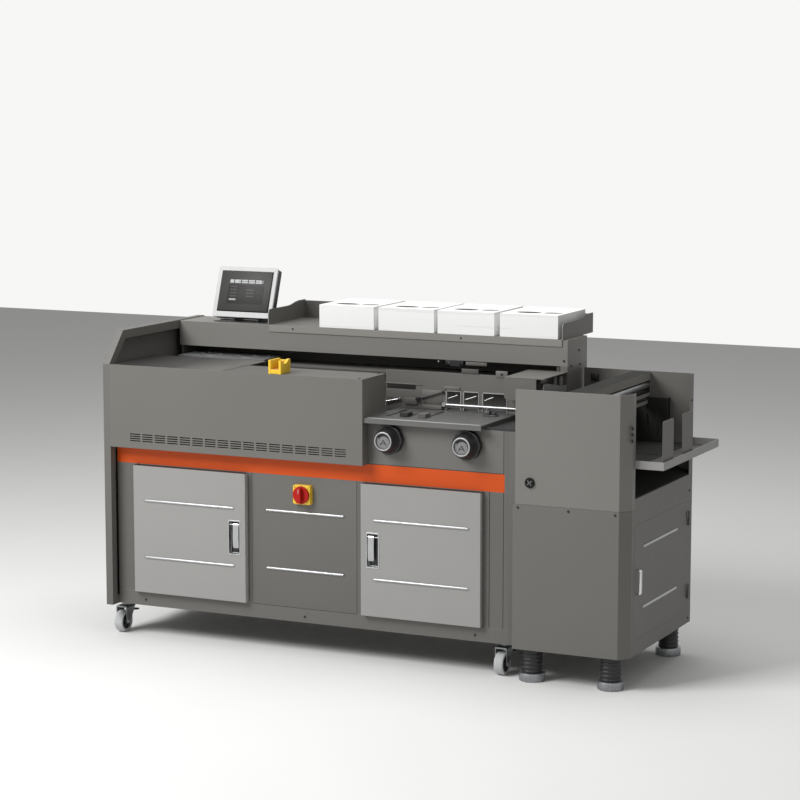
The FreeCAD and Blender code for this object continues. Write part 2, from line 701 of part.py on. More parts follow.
add("left_door", door_pan(DOOR_L_X, DOOR_L_W, PULL_L_X, HINGES[0]))
add("right_door", door_pan(DOOR_R_X, DOOR_R_W, PULL_R_X, HINGES[1]))
add("left_door_trim",
    strip_x(DOOR_L_X + STRIP_INSET_L, STRIP_L_LEN, STRIP_LOW_Z, DOOR_Y),
    strip_x(DOOR_L_X + STRIP_INSET_L, STRIP_L_LEN, STRIP_HIGH_Z, DOOR_Y),
    pull_dish(PULL_L_X))
add("right_door_trim",
    strip_x(DOOR_R_X + STRIP_INSET_R, STRIP_R_LEN, STRIP_LOW_Z, DOOR_Y),
    strip_x(DOOR_R_X + STRIP_INSET_R, STRIP_R_LEN, STRIP_HIGH_Z, DOOR_Y),
    pull_dish(PULL_R_X))
add("left_paddle", paddle(PULL_L_X, PULL_W - PADDLE_IN - PADDLE_W))
add("right_paddle", paddle(PULL_R_X, PADDLE_IN))


# ---------------------------------------------------------------------------
# Hood, loading table and yellow block
# ---------------------------------------------------------------------------

hood_front = box(IN_L, HOOD_L, 0, SHEET, BAND_TOP, HOOD_TOP)
group = (VENT_L - (VENT_GROUPS - 1) * VENT_GAP) / VENT_GROUPS
slots = [box(VENT_X + i * (group + VENT_GAP), VENT_X + i * (group + VENT_GAP) + group, 0, SHEET,
             VENT_Z + j * VENT_PITCH, VENT_Z + j * VENT_PITCH + VENT_SLOT)
         for i in range(VENT_GROUPS) for j in range(VENT_ROWS)]
hood_front = hood_front.cut(slots)
hood_sill = box(IN_L, HOOD_L - SHEET, SHEET, FACE_Y + PANEL_FLANGE, BAND_TOP, BAND_TOP + SHEET)
hood_top = box(IN_L, HOOD_L, SHEET, HOOD_D, HOOD_TOP - SHEET, HOOD_TOP)
hood_hem = box(TABLE_L_END, HOOD_L - SHEET, HOOD_D - SHEET, HOOD_D,
               HOOD_TOP - SHEET - HOOD_FLANGE, HOOD_TOP - SHEET)
hood_end = box(HOOD_L - SHEET, HOOD_L, SHEET, HOOD_D, BAND_TOP, HOOD_TOP - SHEET)
add("hood", hood_front)
add("hood", hood_sill, hood_top.fuse(hood_hem).removeSplitter(), hood_end)

table = box(IN_L, TABLE_L_END, HOOD_D, TABLE_L_BACK, HOOD_TOP - SHEET, HOOD_TOP)
table_hem = box(IN_L, TABLE_L_END, TABLE_L_BACK - SHEET, TABLE_L_BACK,
                HOOD_TOP - SHEET - 2 * HOOD_FLANGE, HOOD_TOP - SHEET)
add("hood", table, table_hem)

block = box(BLOCK_X, BLOCK_X + BLOCK_W, 0, BLOCK_D, HOOD_TOP, HOOD_TOP + BLOCK_H)
half = (BLOCK_W - BLOCK_CLEFT) / 2
pocket = box(BLOCK_X + BLOCK_WALL, BLOCK_X + half - BLOCK_WALL, 0, BLOCK_D - BLOCK_WALL,
             HOOD_TOP + BLOCK_FLOOR, HOOD_TOP + BLOCK_H)
cleft = box(BLOCK_X + half, BLOCK_X + half + BLOCK_CLEFT, 0, BLOCK_D,
            HOOD_TOP + BLOCK_H - CLEFT_DEEP, HOOD_TOP + BLOCK_H)
scoop = rod(Y, BLOCK_X + BLOCK_W - half / 2, 0, HOOD_TOP + BLOCK_H + SCOOP_UP, SCOOP_R, BLOCK_D)
add("yellow_fittings", block.cut([pocket, cleft, scoop]))


# ---------------------------------------------------------------------------
# Beam and book rack
# ---------------------------------------------------------------------------

beam = box(IN_L, MAIN_L - SHEET, BEAM_Y, MAIN_D, BEAM_Z, BEAM_TOP)
beam = beam.cut(box(IN_L, MAIN_L - SHEET, BEAM_Y + SHEET, MAIN_D - SHEET, BEAM_Z + SHEET, BEAM_TOP - SHEET))
beam_end = box(MAIN_L - SHEET, MAIN_L, BEAM_Y, MAIN_D, BEAM_Z, BEAM_TOP)
add("beam", beam, beam_end)

RACK_FLOOR = BEAM_TOP + SKIN
RACK_BACK = BEAM_Y + RACK_D
rack_floor = box(RACK_X, RACK_X + RACK_L, BEAM_Y, RACK_BACK, BEAM_TOP, RACK_FLOOR)
rack_hem = box(RACK_X, RACK_X + RACK_L, BEAM_Y - SHEET, BEAM_Y, BEAM_TOP - RACK_HEM + SKIN, RACK_FLOOR)
rack_back = box(RACK_X, RACK_X + RACK_L, RACK_BACK - SHEET, RACK_BACK, RACK_FLOOR, RACK_FLOOR + RACK_BACK_H)
add("book_rack", rack_floor, rack_hem, rack_back)


def cheek(x0):
    """End cheek of the rack: low and round in front, swept up to the rear."""
    y0, y1 = BEAM_Y - SHEET, RACK_BACK
    low, front, back = BEAM_TOP, BEAM_TOP + CHEEK_FRONT_H, BEAM_TOP + CHEEK_BACK_H
    r = CHEEK_NOSE_R
    k = r * (1 - math.sqrt(0.5))
    rise, crest = y0 + CHEEK_RISE, y0 + CHEEK_CREST
    nose = Part.Arc(V(x0, y0, front - r), V(x0, y0 + k, front - k), V(x0, y0 + r, front))
    sweep = Part.BezierCurve()
    bend = (crest - rise) * 0.45
    sweep.setPoles([V(x0, rise, front), V(x0, rise + bend, front),
                    V(x0, crest - bend, back), V(x0, crest, back)])
    wire = Part.Wire([
        Part.makeLine(V(x0, y0, low), V(x0, y0, front - r)),
        nose.toShape(),
        Part.makeLine(V(x0, y0 + r, front), V(x0, rise, front)),
        sweep.toShape(),
        Part.makeLine(V(x0, crest, back), V(x0, y1, back)),
        Part.makeLine(V(x0, y1, back), V(x0, y1, low)),
        Part.makeLine(V(x0, y1, low), V(x0, y0, low))])
    return Part.Face(wire).extrude(X * SHEET)


add("book_rack", cheek(RACK_X - SHEET), cheek(RACK_X + RACK_L))

book_y = BEAM_Y + BOOK_INSET
BOOK_X = []
right = RACK_X + RACK_L
for gap in BOOK_GAPS:
    right -= gap + BOOK_W
    BOOK_X.insert(0, right)
books = [box(x, x + BOOK_W, book_y, book_y + BOOK_D, RACK_FLOOR + GAP, RACK_FLOOR + GAP + BOOK_H)
         for x in BOOK_X]
add("book_blocks", *books)


# ---------------------------------------------------------------------------
# Cover table bay
# ---------------------------------------------------------------------------

wall = box(WALL_X, IN_R, BAY_BACK, BAY_BACK + SHEET, TROUGH_Z + SHEET, HOOD_TOP - SHEET)
cuts = [(x, width, 0, WINDOW_H) for x, width in WINDOWS] + [SLOT_HIGH, SLOT_LOW]
for x, width, up, height in cuts:
    wall = wall.cut(box(WALL_X + x, WALL_X + x + width, BAY_BACK, BAY_BACK + SHEET,
                        COVER_Z + up, COVER_Z + up + height))
add("bay_wall", wall)

cover_top = box(HOOD_L, COVER_END, COVER_Y, BAY_BACK, COVER_Z - SHEET, COVER_Z)
for x, y, length in SLITS:
    mid = HOOD_L + x
    cover_top = cover_top.cut(box(mid - SLIT_W / 2, mid + SLIT_W / 2, y, y + length,
                                  COVER_Z - SHEET, COVER_Z))
cover_lip = box(HOOD_L, COVER_END, COVER_Y, COVER_Y + SHEET, COVER_Z - COVER_LIP, COVER_Z - SHEET)
cover_skirt = box(COVER_END - SHEET, COVER_END, COVER_Y + SHEET, BAY_BACK,
                  TROUGH_Z + SHEET, COVER_Z - SHEET)
add("cover_table", cover_top, cover_lip, cover_skirt)

trough = box(COVER_END - SHEET, MAIN_L, FACE_Y, BEAM_Y, TROUGH_Z, TROUGH_Z + SHEET)
trough_lip = box(COVER_END, MAIN_L, FACE_Y, FACE_Y + SHEET, TROUGH_Z + SHEET, COVER_Z - COVER_LIP / 2)
add("black_fittings", trough, trough_lip)

fascia = box(HOOD_L, FASCIA_END, FACE_Y, FACE_Y + SHEET, BAND_TOP, TROUGH_Z)
fascia_top = box(HOOD_L, COVER_END - SHEET, FACE_Y, FACE_Y + SHEET, TROUGH_Z, COVER_Z - SHEET)
fascia = fascia.fuse(fascia_top).removeSplitter()
for x in WHEEL_X:
    fascia = fascia.cut(rod(Y, x, FACE_Y, WHEEL_Z, SHAFT_R + RUN, SHEET))
add("front_panels", fascia)

nip_top = box(NIP_COVER_X, MAIN_L, NIP_COVER_Y, BEAM_Y, HOOD_TOP - SHEET, HOOD_TOP)
nip_front = box(NIP_COVER_X, IN_R, NIP_COVER_Y, NIP_COVER_Y + SHEET, NIP_COVER_LOW, HOOD_TOP - SHEET)
nip_edge = [e for e in nip_front.Edges
            if abs(e.CenterOfMass.x - NIP_COVER_X) < 1e-6 and abs(e.CenterOfMass.z - NIP_COVER_LOW) < 1e-6]
nip_front = nip_front.makeFillet(NIP_COVER_R, nip_edge)
nip_side = box(NIP_COVER_X, NIP_COVER_X + SHEET, NIP_COVER_Y + SHEET, BAY_BACK,
               NIP_COVER_LOW + NIP_COVER_R, HOOD_TOP - SHEET)
splash = box(MAIN_L - SPLASH_L, MAIN_L, BEAM_Y - SPLASH_T, BEAM_Y, COVER_Z + SPLASH_UP,
             COVER_Z + SPLASH_UP + SPLASH_H)
add("bay_wall", nip_top, nip_front, nip_side, splash)

# Side guides of the cover: two blocks on one bar under the table
stem_y = GUIDE_Y + GUIDE_SET
bar_top = COVER_Z - SHEET - GUIDE_BAR_GAP
guide_bar = box(HOOD_L + SLITS[1][0] - GUIDE_STEM / 2, HOOD_L + SLITS[2][0] + GUIDE_STEM / 2,
                stem_y, stem_y + GUIDE_STEM_D, bar_top - GUIDE_BAR_H, bar_top)
guide = [guide_bar]
for x in [HOOD_L + slit[0] for slit in SLITS[1:]]:
    stem = box(x - GUIDE_STEM / 2, x + GUIDE_STEM / 2, stem_y, stem_y + GUIDE_STEM_D,
               bar_top, COVER_Z + GAP)
    head = box(x - GUIDE_W + GUIDE_STEM, x + GUIDE_STEM, GUIDE_Y, GUIDE_Y + GUIDE_D,
               COVER_Z + GAP, COVER_Z + GAP + GUIDE_H)
    guide += [stem, head]
add("cover_guides", guide[0].fuse(guide[1:]).removeSplitter())

# Chrome trim that stays with the cabinet: strips of the middle panel, rod of the bay
mid_strip = MID_X + STRIP_INSET_M
mid_length = MID_END - MID_X - 2 * STRIP_INSET_M
rod_x = WALL_X + WINDOWS[0][0] - SEAM
rod_y = BAY_BACK - ROD_BLOCK / 2
rod_blocks = [box(x, x + ROD_BLOCK, BAY_BACK - ROD_BLOCK, BAY_BACK,
                  ROD_Z - ROD_BLOCK / 2, ROD_Z + ROD_BLOCK / 2)
              for x in (rod_x - ROD_BLOCK, ROD_END)]
add("chrome_trim",
    strip_x(mid_strip, mid_length, STRIP_LOW_Z, FACE_Y),
    strip_x(mid_strip, mid_length, STRIP_HIGH_Z, FACE_Y),
    rod(X, rod_x, rod_y, ROD_Z, ROD_R, ROD_END - rod_x),
    *rod_blocks)


# ---------------------------------------------------------------------------
# Handwheels and main switch
# ---------------------------------------------------------------------------


def handwheel(x):
    """Scalloped rim by the fascia, tapered body and indicator ring in front."""
    back = FACE_Y - GAP
    front = FACE_Y - WHEEL_OUT
    rim_y = back - WHEEL_RIM
    rim = rod(Y, 0, rim_y, 0, WHEEL_R, WHEEL_RIM)
    for i in range(WHEEL_SCALLOPS):
        a = 2 * math.pi * i / WHEEL_SCALLOPS
        out = WHEEL_R + SCALLOP_R - SCALLOP_DEEP
        rim = rim.cut(rod(Y, out * math.cos(a), rim_y, out * math.sin(a), SCALLOP_R, WHEEL_RIM))
    profile = [V(0, rim_y, 0), V(WHEEL_R - SCALLOP_DEEP - SEAM, rim_y, 0), V(RING_R, front, 0),
               V(RING_R - RING_W, front, 0), V(RING_R - RING_W, front + RING_L, 0), V(0, front + RING_L, 0)]
    cone = Part.Face(Part.makePolygon(profile + [profile[0]])).revolve(V(0, 0, 0), Y, 360)
    shaft = rod(Y, 0, back, 0, SHAFT_R, SHEET + SHAFT_TAIL)
    body = rim.fuse([cone, shaft]).removeSplitter()
    body.translate(V(x, 0, WHEEL_Z))
    return body


def dial(x):
    """Weighted disc that keeps upright behind the indicator's glass."""
    y = FACE_Y - WHEEL_OUT + RING_L - GAP - DIAL_T
    return rod(Y, x, y, WHEEL_Z, RING_R - RING_W - GAP, DIAL_T)


for side, wheel_x in zip(("left", "right"), WHEEL_X):
    add("handwheel_" + side, handwheel(wheel_x))
    add("dial_" + side, dial(wheel_x))

plate = box(SWITCH_X - SWITCH_W / 2, SWITCH_X + SWITCH_W / 2, FACE_Y - SWITCH_T, FACE_Y,
            SWITCH_Z - SWITCH_W / 2, SWITCH_Z + SWITCH_W / 2)
front_edges = [e for e in plate.Edges if e.CenterOfMass.y < FACE_Y - SWITCH_T + SWITCH_BEVEL]
plate = plate.makeChamfer(SWITCH_BEVEL, front_edges)
plate = plate.cut(rod(Y, SWITCH_X, FACE_Y - SWITCH_T, SWITCH_Z, SHAFT_R + RUN, SWITCH_T))
add("yellow_fittings", plate)
knob_back = FACE_Y - SWITCH_T - GAP
knob = rod(Y, SWITCH_X, knob_back - KNOB_T, SWITCH_Z, KNOB_R, KNOB_T)
grip_y = knob_back - KNOB_T - GRIP_H
grip = box(SWITCH_X - GRIP_W / 2, SWITCH_X + GRIP_W / 2, grip_y, knob_back - KNOB_T,
           SWITCH_Z - KNOB_R + SEAM, SWITCH_Z + KNOB_R - SEAM)
knob_shaft = rod(Y, SWITCH_X, knob_back, SWITCH_Z, SHAFT_R, SWITCH_T)
add("switch_knob", knob.fuse([grip, knob_shaft]).removeSplitter())


# ---------------------------------------------------------------------------
# Clamp carriage on its rails
# ---------------------------------------------------------------------------

rail_x0 = IN_L + BRACKET_IN + BRACKET_T
rail_x1 = IN_R - BRACKET_IN - BRACKET_T
brackets = [box(x, x + BRACKET_T, BEAM_Y + BRACKET_IN, REAR_Y - SEAM, RAIL_Z - BRACKET_DROP, BEAM_Z)
            for x in (rail_x0 - BRACKET_T, rail_x1)]
shafts = [rod(X, rail_x0, y, RAIL_Z, RAIL_R, rail_x1 - rail_x0) for y in RAIL_Y]
add("carriage_rails", *brackets, *shafts)

JAW_BACK = JAW_FRONT + JAW_T + JAW_OPEN     # front face of the fixed jaw
plate_low = CLAMP_TOP - CLAMP_PLATE
bearing_x = CLAMP_X + (CLAMP_L - BEARING_L) / 2
bearing = box(bearing_x, bearing_x + BEARING_L, RAIL_Y[0] - BEARING_MARGIN, RAIL_Y[1] + BEARING_MARGIN,
              plate_low - BEARING_H, plate_low)
for y in RAIL_Y:
    bearing = bearing.cut(rod(X, bearing_x, y, RAIL_Z, RAIL_R + RUN, BEARING_L))
bridge = box(CLAMP_X, CLAMP_X + CLAMP_L, JAW_BACK, RAIL_Y[0] + BEARING_MARGIN, plate_low, CLAMP_TOP)
fixed_jaw = box(CLAMP_X, CLAMP_X + CLAMP_L, JAW_BACK, JAW_BACK + JAW_T, JAW_LOW, plate_low)
rod_xs = (CLAMP_X + GUIDE_ROD_IN, CLAMP_X + CLAMP_L - GUIDE_ROD_IN)
for x in rod_xs:
    fixed_jaw = fixed_jaw.cut(rod(Y, x, JAW_BACK, GUIDE_ROD_Z, GUIDE_ROD_R + RUN, JAW_T))


def lens(x0):
    """Low lens-shaped lever plate on the clamp."""
    y0 = JAW_BACK + LEVER_SET
    left = V(x0, y0 + LEVER_W / 2, CLAMP_TOP)
    right = left + X * LEVER_L
    front = Part.Arc(left, V(x0 + LEVER_L / 2, y0, CLAMP_TOP), right)
    rear = Part.Arc(right, V(x0 + LEVER_L / 2, y0 + LEVER_W, CLAMP_TOP), left)
    return Part.Face(Part.Wire([front.toShape(), rear.toShape()])).extrude(Z * LEVER_T)


levers = [lens(CLAMP_X + at) for at in LEVER_AT]
add("clamp_carriage", bearing, bridge, fixed_jaw, *levers)

moving_jaw = box(CLAMP_X, CLAMP_X + CLAMP_L, JAW_FRONT, JAW_FRONT + JAW_T, JAW_LOW, plate_low)
jaw_cap = box(CLAMP_X, CLAMP_X + CLAMP_L, CLAMP_FRONT, JAW_FRONT + JAW_T, plate_low, CLAMP_TOP)
guide_rods = [rod(Y, x, JAW_FRONT + JAW_T, GUIDE_ROD_Z, GUIDE_ROD_R, JAW_OPEN + JAW_T + GUIDE_ROD_TAIL)
              for x in rod_xs]
add("clamp_jaw", moving_jaw, jaw_cap, *guide_rods)


# ---------------------------------------------------------------------------
# Works bed: milling cutter, glue tank, nip station
# ---------------------------------------------------------------------------

bed = box(BED_X, BED_X + BED_L, BED_Y, BED_Y + BED_D, BED_Z - BED_T, BED_Z)
legs = [box(x, x + BED_LEG, y, y + BED_LEG, DECK_Z, BED_Z - BED_T)
        for x in (BED_X, BED_X + BED_L - BED_LEG) for y in (BED_Y, BED_Y + BED_D - BED_LEG)]

nip_y = LINE_Y - NIP_D / 2
nip_rear = nip_y + NIP_D            # rear edge of the nip table
base_y = nip_y - NIP_EDGE           # front face of the nip base
base_top = BED_Z + NIP_BASE_H
post_xs = (NIP_X + NIP_POST_IN, NIP_X + NIP_L - NIP_POST_IN)
pin_xs = (NIP_X + NIP_PIN_IN, NIP_X + NIP_L - NIP_PIN_IN)
pin_z = base_top - NIP_PIN_DOWN
nip_base = box(NIP_X, NIP_X + NIP_L, base_y, nip_rear + NIP_BLOCK_D, BED_Z, base_top)
nip_base = nip_base.cut(
    [rod(Z, x, LINE_Y, base_top - NIP_POST_DEEP - NIP_LIFT, NIP_POST_R + RUN, NIP_POST_DEEP + NIP_LIFT)
     for x in post_xs]
    + [rod(Y, x, base_y, pin_z, NIP_PIN_R + RUN, NIP_PIN_SEAT + NIP_TRAVEL + NIP_EDGE) for x in pin_xs])
nip_block = box(NIP_X, NIP_X + NIP_L, nip_rear + 2 * NIP_EDGE, nip_rear + NIP_BLOCK_D, base_top, NIP_JAW_Z)
rear_jaw = box(NIP_X, NIP_X + NIP_L, nip_rear + NIP_EDGE, nip_rear + NIP_EDGE + NIP_JAW_D,
               NIP_JAW_Z, NIP_JAW_Z + NIP_JAW_T)
add("works_bed", bed, *legs, nip_base, nip_block, rear_jaw)

motor_top = BED_Z + MOTOR_H
mill_z = motor_top + MILL_LIFT
motor = box(MILL_X - MOTOR_W / 2, MILL_X + MOTOR_W / 2, LINE_Y - MOTOR_W / 2, LINE_Y + MOTOR_W / 2,
            BED_Z, motor_top)
fin_step = MOTOR_W / MOTOR_FINS
fins = []
for i in range(MOTOR_FINS):
    y = LINE_Y - MOTOR_W / 2 + (i + 0.5) * fin_step
    fins.append(box(MILL_X - MOTOR_W / 2 - FIN_OUT, MILL_X + MOTOR_W / 2 + FIN_OUT, y - FIN_T / 2, y + FIN_T / 2,
                    BED_Z + 2 * FIN_OUT, motor_top - 2 * FIN_OUT))
boss = rod(Z, MILL_X, LINE_Y, motor_top, 2 * SPINDLE_R, MILL_LIFT - GAP)
spindle = rod(Z, MILL_X, LINE_Y, motor_top, SPINDLE_R, MILL_LIFT + MILL_T)
add("works_bed", motor.fuse(fins + [boss, spindle]).removeSplitter())

mill = rod(Z, MILL_X, LINE_Y, mill_z, MILL_R, MILL_T)
mill = mill.cut(rod(Z, MILL_X, LINE_Y, mill_z, SPINDLE_R + RUN, MILL_T))
teeth = []
for i in range(MILL_TEETH):
    tooth = prism([V(MILL_R - TOOTH_L, -TOOTH_W / 2, 0), V(MILL_R, -TOOTH_W / 2, 0), V(MILL_R, TOOTH_W / 2, 0),
                   V(MILL_R - TOOTH_L, TOOTH_W / 3, 0)], Z * TOOTH_H)
    tooth.rotate(V(0, 0, 0), Z, 360.0 * i / MILL_TEETH)
    tooth.translate(V(MILL_X, LINE_Y, mill_z + MILL_T))
    teeth.append(tooth)
add("milling_cutter", mill.fuse(teeth).removeSplitter())

tank = box(TANK_X, TANK_X + TANK_L, LINE_Y - TANK_D / 2, LINE_Y + TANK_D / 2, BED_Z, BED_Z + TANK_H)
tank = tank.cut(box(TANK_X + TANK_WALL, TANK_X + TANK_L - TANK_WALL, LINE_Y - TANK_D / 2 + TANK_WALL,
                    LINE_Y + TANK_D / 2 - TANK_WALL, BED_Z + TANK_WALL, BED_Z + TANK_H))
roll_mid = TANK_X + TANK_L / 2
roll_xs = (roll_mid - ROLL_R - ROLL_GAP / 2, roll_mid + ROLL_R + ROLL_GAP / 2)
for x in roll_xs:
    tank = tank.cut(rod(Y, x, LINE_Y - TANK_D / 2, ROLL_Z, SHAFT_R + RUN, TANK_D))
add("glue_tank", tank)
for i, x in enumerate(roll_xs):
    length = TANK_D - 2 * TANK_WALL - ROLL_PLAY
    barrel = rod(Y, x, LINE_Y - length / 2, ROLL_Z, ROLL_R, length)
    axle = rod(Y, x, LINE_Y - TANK_D / 2, ROLL_Z, SHAFT_R, TANK_D)
    add("glue_roller_%d" % (i + 1), barrel.fuse(axle).removeSplitter())

nip_low = NIP_JAW_Z - NIP_SLACK - NIP_LIFT - NIP_TABLE_T
nip_table = box(NIP_X, NIP_X + NIP_L, nip_y, nip_rear, nip_low, nip_low + NIP_TABLE_T)
nip_posts = [rod(Z, x, LINE_Y, base_top - NIP_POST_DEEP, NIP_POST_R, nip_low - base_top + NIP_POST_DEEP)
             for x in post_xs]
add("nip_table", nip_table, *nip_posts)

apron_back = base_y - GAP - NIP_TRAVEL
blade = box(NIP_X, NIP_X + NIP_L, apron_back, apron_back + NIP_JAW_D, NIP_JAW_Z, NIP_JAW_Z + NIP_JAW_T)
apron = box(NIP_X, NIP_X + NIP_L, apron_back - NIP_APRON_T, apron_back,
            pin_z - 2 * NIP_PIN_R, NIP_JAW_Z + NIP_JAW_T)
pins = [rod(Y, x, apron_back, pin_z, NIP_PIN_R, GAP + NIP_TRAVEL + NIP_PIN_SEAT) for x in pin_xs]
add("nip_jaw", blade, apron, *pins)


# ---------------------------------------------------------------------------
# Cover feeder module
# ---------------------------------------------------------------------------


def bent_cover(x0, z0, z1):
    """Front sheet with its canted corner and a flange on the end face."""
    t = SHEET
    k = math.tan(math.atan2(MOD_BEND_Y, MOD_END - MOD_FLAT) / 2)
    k_end = math.tan((math.pi / 2 - math.atan2(MOD_BEND_Y, MOD_END - MOD_FLAT)) / 2)
    flange_y = MOD_BEND_Y + MOD_FLANGE
    points = [
        V(x0, 0, z0), V(MOD_FLAT, 0, z0), V(MOD_END, MOD_BEND_Y, z0), V(MOD_END, flange_y, z0),
        V(MOD_END - t, flange_y, z0), V(MOD_END - t, MOD_BEND_Y + t * k_end, z0), V(MOD_FLAT - t * k, t, z0),
        V(x0, t, z0)]
    return prism(points, Z * (z1 - z0))


add("module_body", bent_cover(MOD_X, FRAME_Z, MOD_SEAM - SEAM / 2))
upper = bent_cover(MOD_UP_X, MOD_SEAM + SEAM / 2, MOD_TOP)
upper = upper.cut(rod(Y, LOCK_X, 0, LOCK_Z, SHAFT_R + RUN, SHEET))
add("module_upper_cover", upper)

MOD_BACK = MOD_D - SHEET
end_x = MOD_END - SHEET
flange_end = MOD_BEND_Y + MOD_FLANGE
corner_x = MOD_FLAT - MOD_CORNER    # plates inside stop short of the canted corner
door_low = SDOOR_Z - SDOOR_GAP
door_high = SDOOR_Z + SDOOR_H + SDOOR_GAP
door_back = SDOOR_Y + SDOOR_W + SDOOR_GAP
add("module_body",
    box(end_x, MOD_END, flange_end, MOD_BACK, FRAME_Z, door_low),
    box(end_x, MOD_END, flange_end, MOD_BACK, door_high, OPEN_LOW),
    box(end_x, MOD_END, door_back, MOD_BACK, door_low, door_high),
    box(end_x, MOD_END, MOD_BACK - 2 * SDOOR_FLANGE, MOD_BACK, OPEN_LOW, MOD_TOP))
add("module_body",
    box(MOD_X, MOD_END, MOD_BACK, MOD_D, FRAME_Z, MOD_TOP),
    box(MOD_UP_X, MOD_UP_X + SHEET, SHEET, MOD_BACK, FRAME_Z, TROUGH_Z),
    box(MOD_UP_X + SHEET, end_x, SHEET, MOD_BACK, FRAME_Z, FRAME_Z + SHEET).cut(
        box(corner_x, end_x, SHEET, flange_end, FRAME_Z, FRAME_Z + SHEET)))

# Spacers that bolt the module to the cabinet
spacers = [box(MAIN_L, MOD_UP_X, y, y + SPACER, z, z + SPACER)
           for y in (SPACER_IN, MOD_D - SPACER_IN - SPACER)
           for z in (FRAME_Z + SPACER_IN, DECK_Z - SPACER_IN)]
add("module_body", *spacers)

# Lift-off hinges at the rear edge of the side door: pins on the module, bored knuckles on the door
SHINGE = V(MOD_END + KNUCKLE_R + GAP, SDOOR_Y + SDOOR_W + SDOOR_GAP / 2, 0)
knuckle_zs = (SDOOR_Z + KNUCKLE_IN, SDOOR_Z + SDOOR_H - KNUCKLE_IN - 2 * KNUCKLE_L)


def knuckle(z, side):
    """Knuckle and its leaf, to the rear (1) or to the front (-1) of the axis."""
    y0, y1 = sorted((SHINGE.y, SHINGE.y + side * LEAF_W))
    leaf = box(MOD_END, MOD_END + LEAF_T, y0, y1, z, z + KNUCKLE_L)
    return rod(Z, SHINGE.x, SHINGE.y, z, KNUCKLE_R, KNUCKLE_L).fuse(leaf).removeSplitter()


def hinge_pin(z):
    """Pin that stands on a fixed knuckle."""
    return rod(Z, SHINGE.x, SHINGE.y, z + KNUCKLE_L, HINGE_PIN, KNUCKLE_L)


add("module_body", *[knuckle(z, 1) for z in knuckle_zs], *[hinge_pin(z) for z in knuckle_zs])
door_knuckles = [knuckle(z + KNUCKLE_L + GAP, -1).cut(rod(Z, SHINGE.x, SHINGE.y, z + KNUCKLE_L, HINGE_PIN + RUN,
                                                          KNUCKLE_L + GAP)) for z in knuckle_zs]

side_skin = box(end_x, MOD_END, SDOOR_Y, SDOOR_Y + SDOOR_W, SDOOR_Z, SDOOR_Z + SDOOR_H)
side_rim = box(end_x - SDOOR_FLANGE, end_x, SDOOR_Y, SDOOR_Y + SDOOR_W, SDOOR_Z, SDOOR_Z + SDOOR_H)
side_rim = side_rim.cut(box(end_x - SDOOR_FLANGE, end_x, SDOOR_Y + SKIN, SDOOR_Y + SDOOR_W - SKIN,
                            SDOOR_Z + SKIN, SDOOR_Z + SDOOR_H - SKIN))
add("side_door", side_skin.fuse([side_rim] + door_knuckles).removeSplitter())


def strip_y(y0, length, z):
    """Half-round strip along Y on the end face."""
    return half_round(V(MOD_END, y0, z), X, Y, Z, length)


grip_bar = box(MOD_END + SPULL_OUT, MOD_END + SPULL_OUT + SPULL_T, SPULL_Y, SPULL_Y + SPULL_W,
               SPULL_Z, SPULL_Z + SPULL_H)
grip_feet = [box(MOD_END, MOD_END + SPULL_OUT, SPULL_Y, SPULL_Y + SPULL_W, z, z + SPULL_T)
             for z in (SPULL_Z, SPULL_Z + SPULL_H - SPULL_T)]
add("side_door_trim", *[strip_y(SSTRIP_Y, SSTRIP_LEN, z) for z in SSTRIP_Z],
    grip_bar.fuse(grip_feet).removeSplitter())

# Feed head across the module, its roller and the dark deck to its left
head_cap = box(HEAD_X, HEAD_X + HEAD_W, SHEET, MOD_BACK, HEAD_TOP - HEAD_CAP, HEAD_TOP)
feed_x = HEAD_X + HEAD_W - FEED_R
cheeks = [box(HEAD_X, HEAD_X + HEAD_W, y, y + HEAD_CHEEK, HEAD_LOW, HEAD_TOP - HEAD_CAP)
          for y in (SHEET, MOD_BACK - HEAD_CHEEK)]
cheeks = [c.cut(rod(Y, feed_x, SHEET, FEED_Z, JOURNAL_R + RUN, MOD_BACK)) for c in cheeks]
bars = [box(HEAD_X + HEAD_W - BAR_W, HEAD_X + HEAD_W, SHEET + HEAD_CHEEK, MOD_BACK - HEAD_CHEEK,
            z, z + BAR_H)
        for z in (HEAD_LOW + BAR_H / 2, HEAD_LOW + BAR_H * 2.5)]
black_deck = box(MOD_UP_X + SHEET, HEAD_X, SHEET, MOD_BACK, BLACK_DECK_Z, BLACK_DECK_Z + SHEET)
add("feeder_works", head_cap, *cheeks, *bars, black_deck)
feed_play = 1.0
feed = rod(Y, feed_x, SHEET + HEAD_CHEEK + feed_play, FEED_Z, FEED_R,
           MOD_BACK - SHEET - 2 * (HEAD_CHEEK + feed_play))
journals = rod(Y, feed_x, SHEET + GAP, FEED_Z, JOURNAL_R, MOD_BACK - SHEET - 2 * GAP)
feed = feed.fuse(journals).removeSplitter()
add("feed_roller", feed)

# Cover deck inside, delivery chute below it, tray outside
cover_deck = box(DECK2_X, end_x, SHEET, MOD_BACK, DECK2_Z - SHEET, DECK2_Z)
cover_deck = cover_deck.cut(box(corner_x, end_x, SHEET, flange_end, DECK2_Z - SHEET, DECK2_Z))
tongue = box(end_x, MOD_END, flange_end, MOD_BACK - 2 * SDOOR_FLANGE, DECK2_Z - SHEET, DECK2_Z)
cover_deck = cover_deck.fuse(tongue).removeSplitter()
chute = prism([V(HEAD_X, SHEET, CHUTE_TOP), V(end_x, SHEET, OPEN_LOW), V(end_x, SHEET, OPEN_LOW + SHEET),
               V(HEAD_X, SHEET, CHUTE_TOP + SHEET)], Y * (MOD_BACK - SHEET))
chute = chute.cut(box(corner_x, MOD_END, SHEET, flange_end, OPEN_LOW, CHUTE_TOP))
add("feeder_works", cover_deck, chute)

